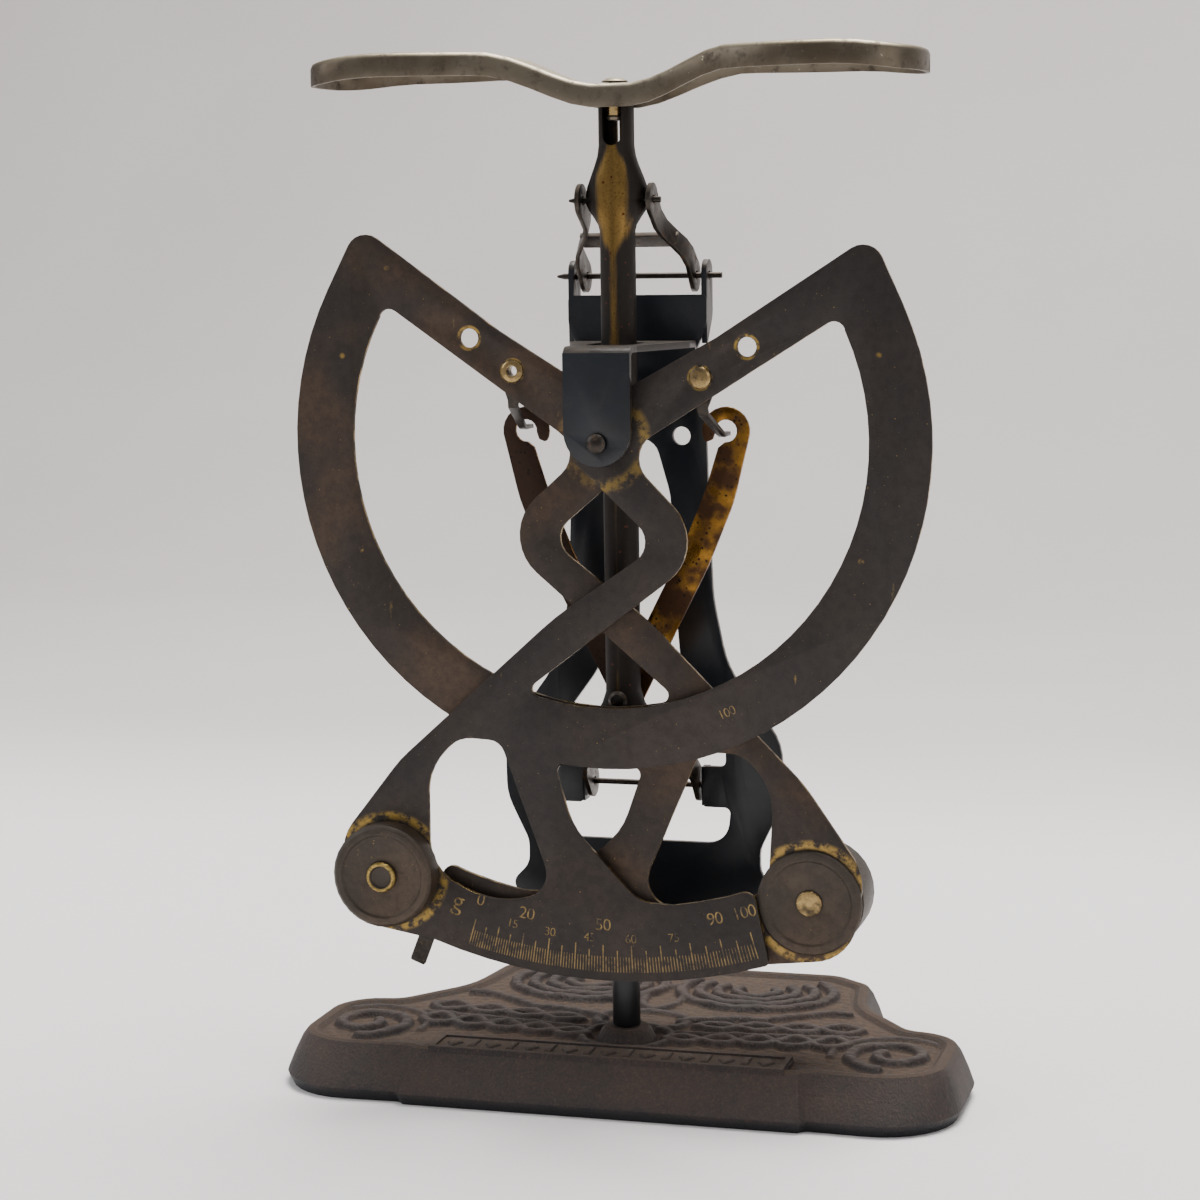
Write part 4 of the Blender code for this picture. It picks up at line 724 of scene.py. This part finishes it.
def make_plaque_pattern():
    """A framed strip along the front with plain lozenges and bars where a name would be."""
    low, high = plaque_span()
    front = low - 3.4                                # the strip runs forward over the rim's bead
    middle = (front + high) / 2.0
    half_depth = (high - front) / 2.0
    ground = BEAD_TOP / MM + 0.05
    reach = 36.2
    rail = 0.55
    vertices = []
    faces = []
    slab(vertices, faces, (0.0, middle), (reach, half_depth), ground - 0.8, ground, 0.3)
    for v in (half_depth - rail, rail - half_depth):
        slab(vertices, faces, (0.0, middle + v), (reach, rail), ground - RAIL_FOOT,
             ground + RAIL_RISE)
    for u in (reach - rail, rail - reach):
        slab(vertices, faces, (u, middle), (rail, half_depth - 2.0 * rail), ground - RAIL_FOOT,
             ground + RAIL_RISE, 0.0)
    count = 17
    for i in range(count):
        x = -32.0 + 64.0 * i / (count - 1)
        if i % 2 == 0:
            half_x, half_y = 1.5, 2.5
            ring = [(-half_x, 0.0), (0.0, -half_y), (half_x, 0.0), (0.0, half_y)]
        else:
            half_x, half_y = 0.6, 2.2
            ring = [(-half_x, -half_y), (half_x, -half_y), (half_x, half_y), (-half_x, half_y)]
        start = len(vertices)
        for scale, rise in ((1.25, -0.1), (1.0, 0.35), (0.6, 0.5)):
            vertices += [place(x + scale * u, middle + scale * v, ground + rise) for u, v in ring]
        for level in (0, 4):
            for k in range(4):
                faces.append((start + level + k, start + level + (k + 1) % 4,
                              start + level + 4 + (k + 1) % 4, start + level + 4 + k))
        faces.append(tuple(start + 8 + k for k in range(4)))
    return new_piece("plaque_pattern", vertices, faces, IRON_WALL, "stand")


make_ornament()
make_plaque_pattern()


# ---- floor, light and camera -------------------------------------------------------------------
def make_backdrop():
    """A floor that turns up into a wall behind the object."""
    look = Look("pale_paper")
    tone = look.ramp(look.noise(0.004, 2.0), 0.3, 0.7)
    grain = look.noise(0.9, 4.0, 0.6)
    # painted shade: the paper goes from near white in front to grey at the back and up the wall
    near = look.mix(tone, (0.93, 0.902, 0.890), (0.95, 0.922, 0.910))
    far = look.mix(tone, (0.66, 0.628, 0.612), (0.70, 0.668, 0.652))
    colour = look.mix(look.ramp(look.axis("Y"), 160.0, 420.0), near, far)
    look.set(colour, 0.85, 0.0, look.bump(grain, 0.04, 0.05))
    profile = [(-1.6, 0.0), (0.75, 0.0)]
    profile += [(0.75 + 0.5 * math.sin(math.radians(a)), 0.5 - 0.5 * math.cos(math.radians(a)))
                for a in range(9, 91, 9)]
    profile.append((1.25, 2.6))
    width = 2.6
    vertices = []
    faces = []
    for y, z in profile:
        vertices += [(-width, y, z), (width, y, z)]
    for i in range(len(profile) - 1):
        faces.append((2 * i, 2 * i + 1, 2 * i + 3, 2 * i + 2))
    mesh = bpy.data.meshes.new("backdrop")
    mesh.from_pydata(vertices, [], faces)
    mesh.shade_smooth()
    mesh.materials.append(look.material)
    backdrop = bpy.data.objects.new("backdrop", mesh)
    bpy.context.scene.collection.objects.link(backdrop)


def add_light(name, where, target, size, power, colour):
    data = bpy.data.lights.new(name, "AREA")
    data.shape = "RECTANGLE"
    data.size = size[0]
    data.size_y = size[1]
    data.energy = power
    data.color = colour
    lamp = bpy.data.objects.new(name, data)
    lamp.location = where
    lamp.rotation_euler = (Vector(target) - Vector(where)).to_track_quat("-Z", "Y").to_euler()
    bpy.context.scene.collection.objects.link(lamp)


def set_light():
    world = bpy.data.worlds.new("studio")
    world.use_nodes = True
    world.node_tree.nodes["Background"].inputs["Color"].default_value = (0.97, 0.97, 1.0, 1.0)
    world.node_tree.nodes["Background"].inputs["Strength"].default_value = 0.40
    bpy.context.scene.world = world
    middle = (0.0, 0.0, 0.1)
    add_light("top_softbox", (0.1, 0.25, 1.25), middle, (0.8, 0.7), 28.0, (1.0, 0.98, 0.96))
    add_light("left_window", (-1.2, -0.35, 0.75), middle, (0.8, 0.8), 6.5, (0.95, 0.97, 1.0))
    add_light("right_fill", (1.15, -0.7, 0.55), middle, (0.7, 0.9), 3.5, (1.0, 0.97, 0.93))


def set_camera():
    """A long lens in front of the object, to its right and slightly above its middle."""
    azimuth = math.radians(15.5)
    distance = 560.0
    focal = 2838.0
    frame_width = 1200.0
    pan = azimuth + math.atan(21.5 / focal)
    pitch = math.radians(7.3)
    roll = math.radians(0.8)
    forward = Vector((-math.sin(pan) * math.cos(pitch), math.cos(pan) * math.cos(pitch), -math.sin(pitch)))
    right = Vector((math.cos(pan), math.sin(pan), 0.0))
    up = right.cross(forward)
    rolled_right = right * math.cos(roll) - up * math.sin(roll)
    rolled_up = up * math.cos(roll) + right * math.sin(roll)
    data = bpy.data.cameras.new("camera")
    data.sensor_width = 36.0
    data.lens = focal / frame_width * data.sensor_width
    data.clip_start = 0.02
    data.clip_end = 20.0
    camera = bpy.data.objects.new("camera", data)
    turn = Matrix((rolled_right, rolled_up, -forward)).transposed().to_4x4()
    where = place(distance * math.sin(azimuth), -distance * math.cos(azimuth), 171.0)
    camera.matrix_world = Matrix.Translation(where) @ turn
    bpy.context.scene.collection.objects.link(camera)
    bpy.context.scene.camera = camera


make_backdrop()
set_light()
set_camera()
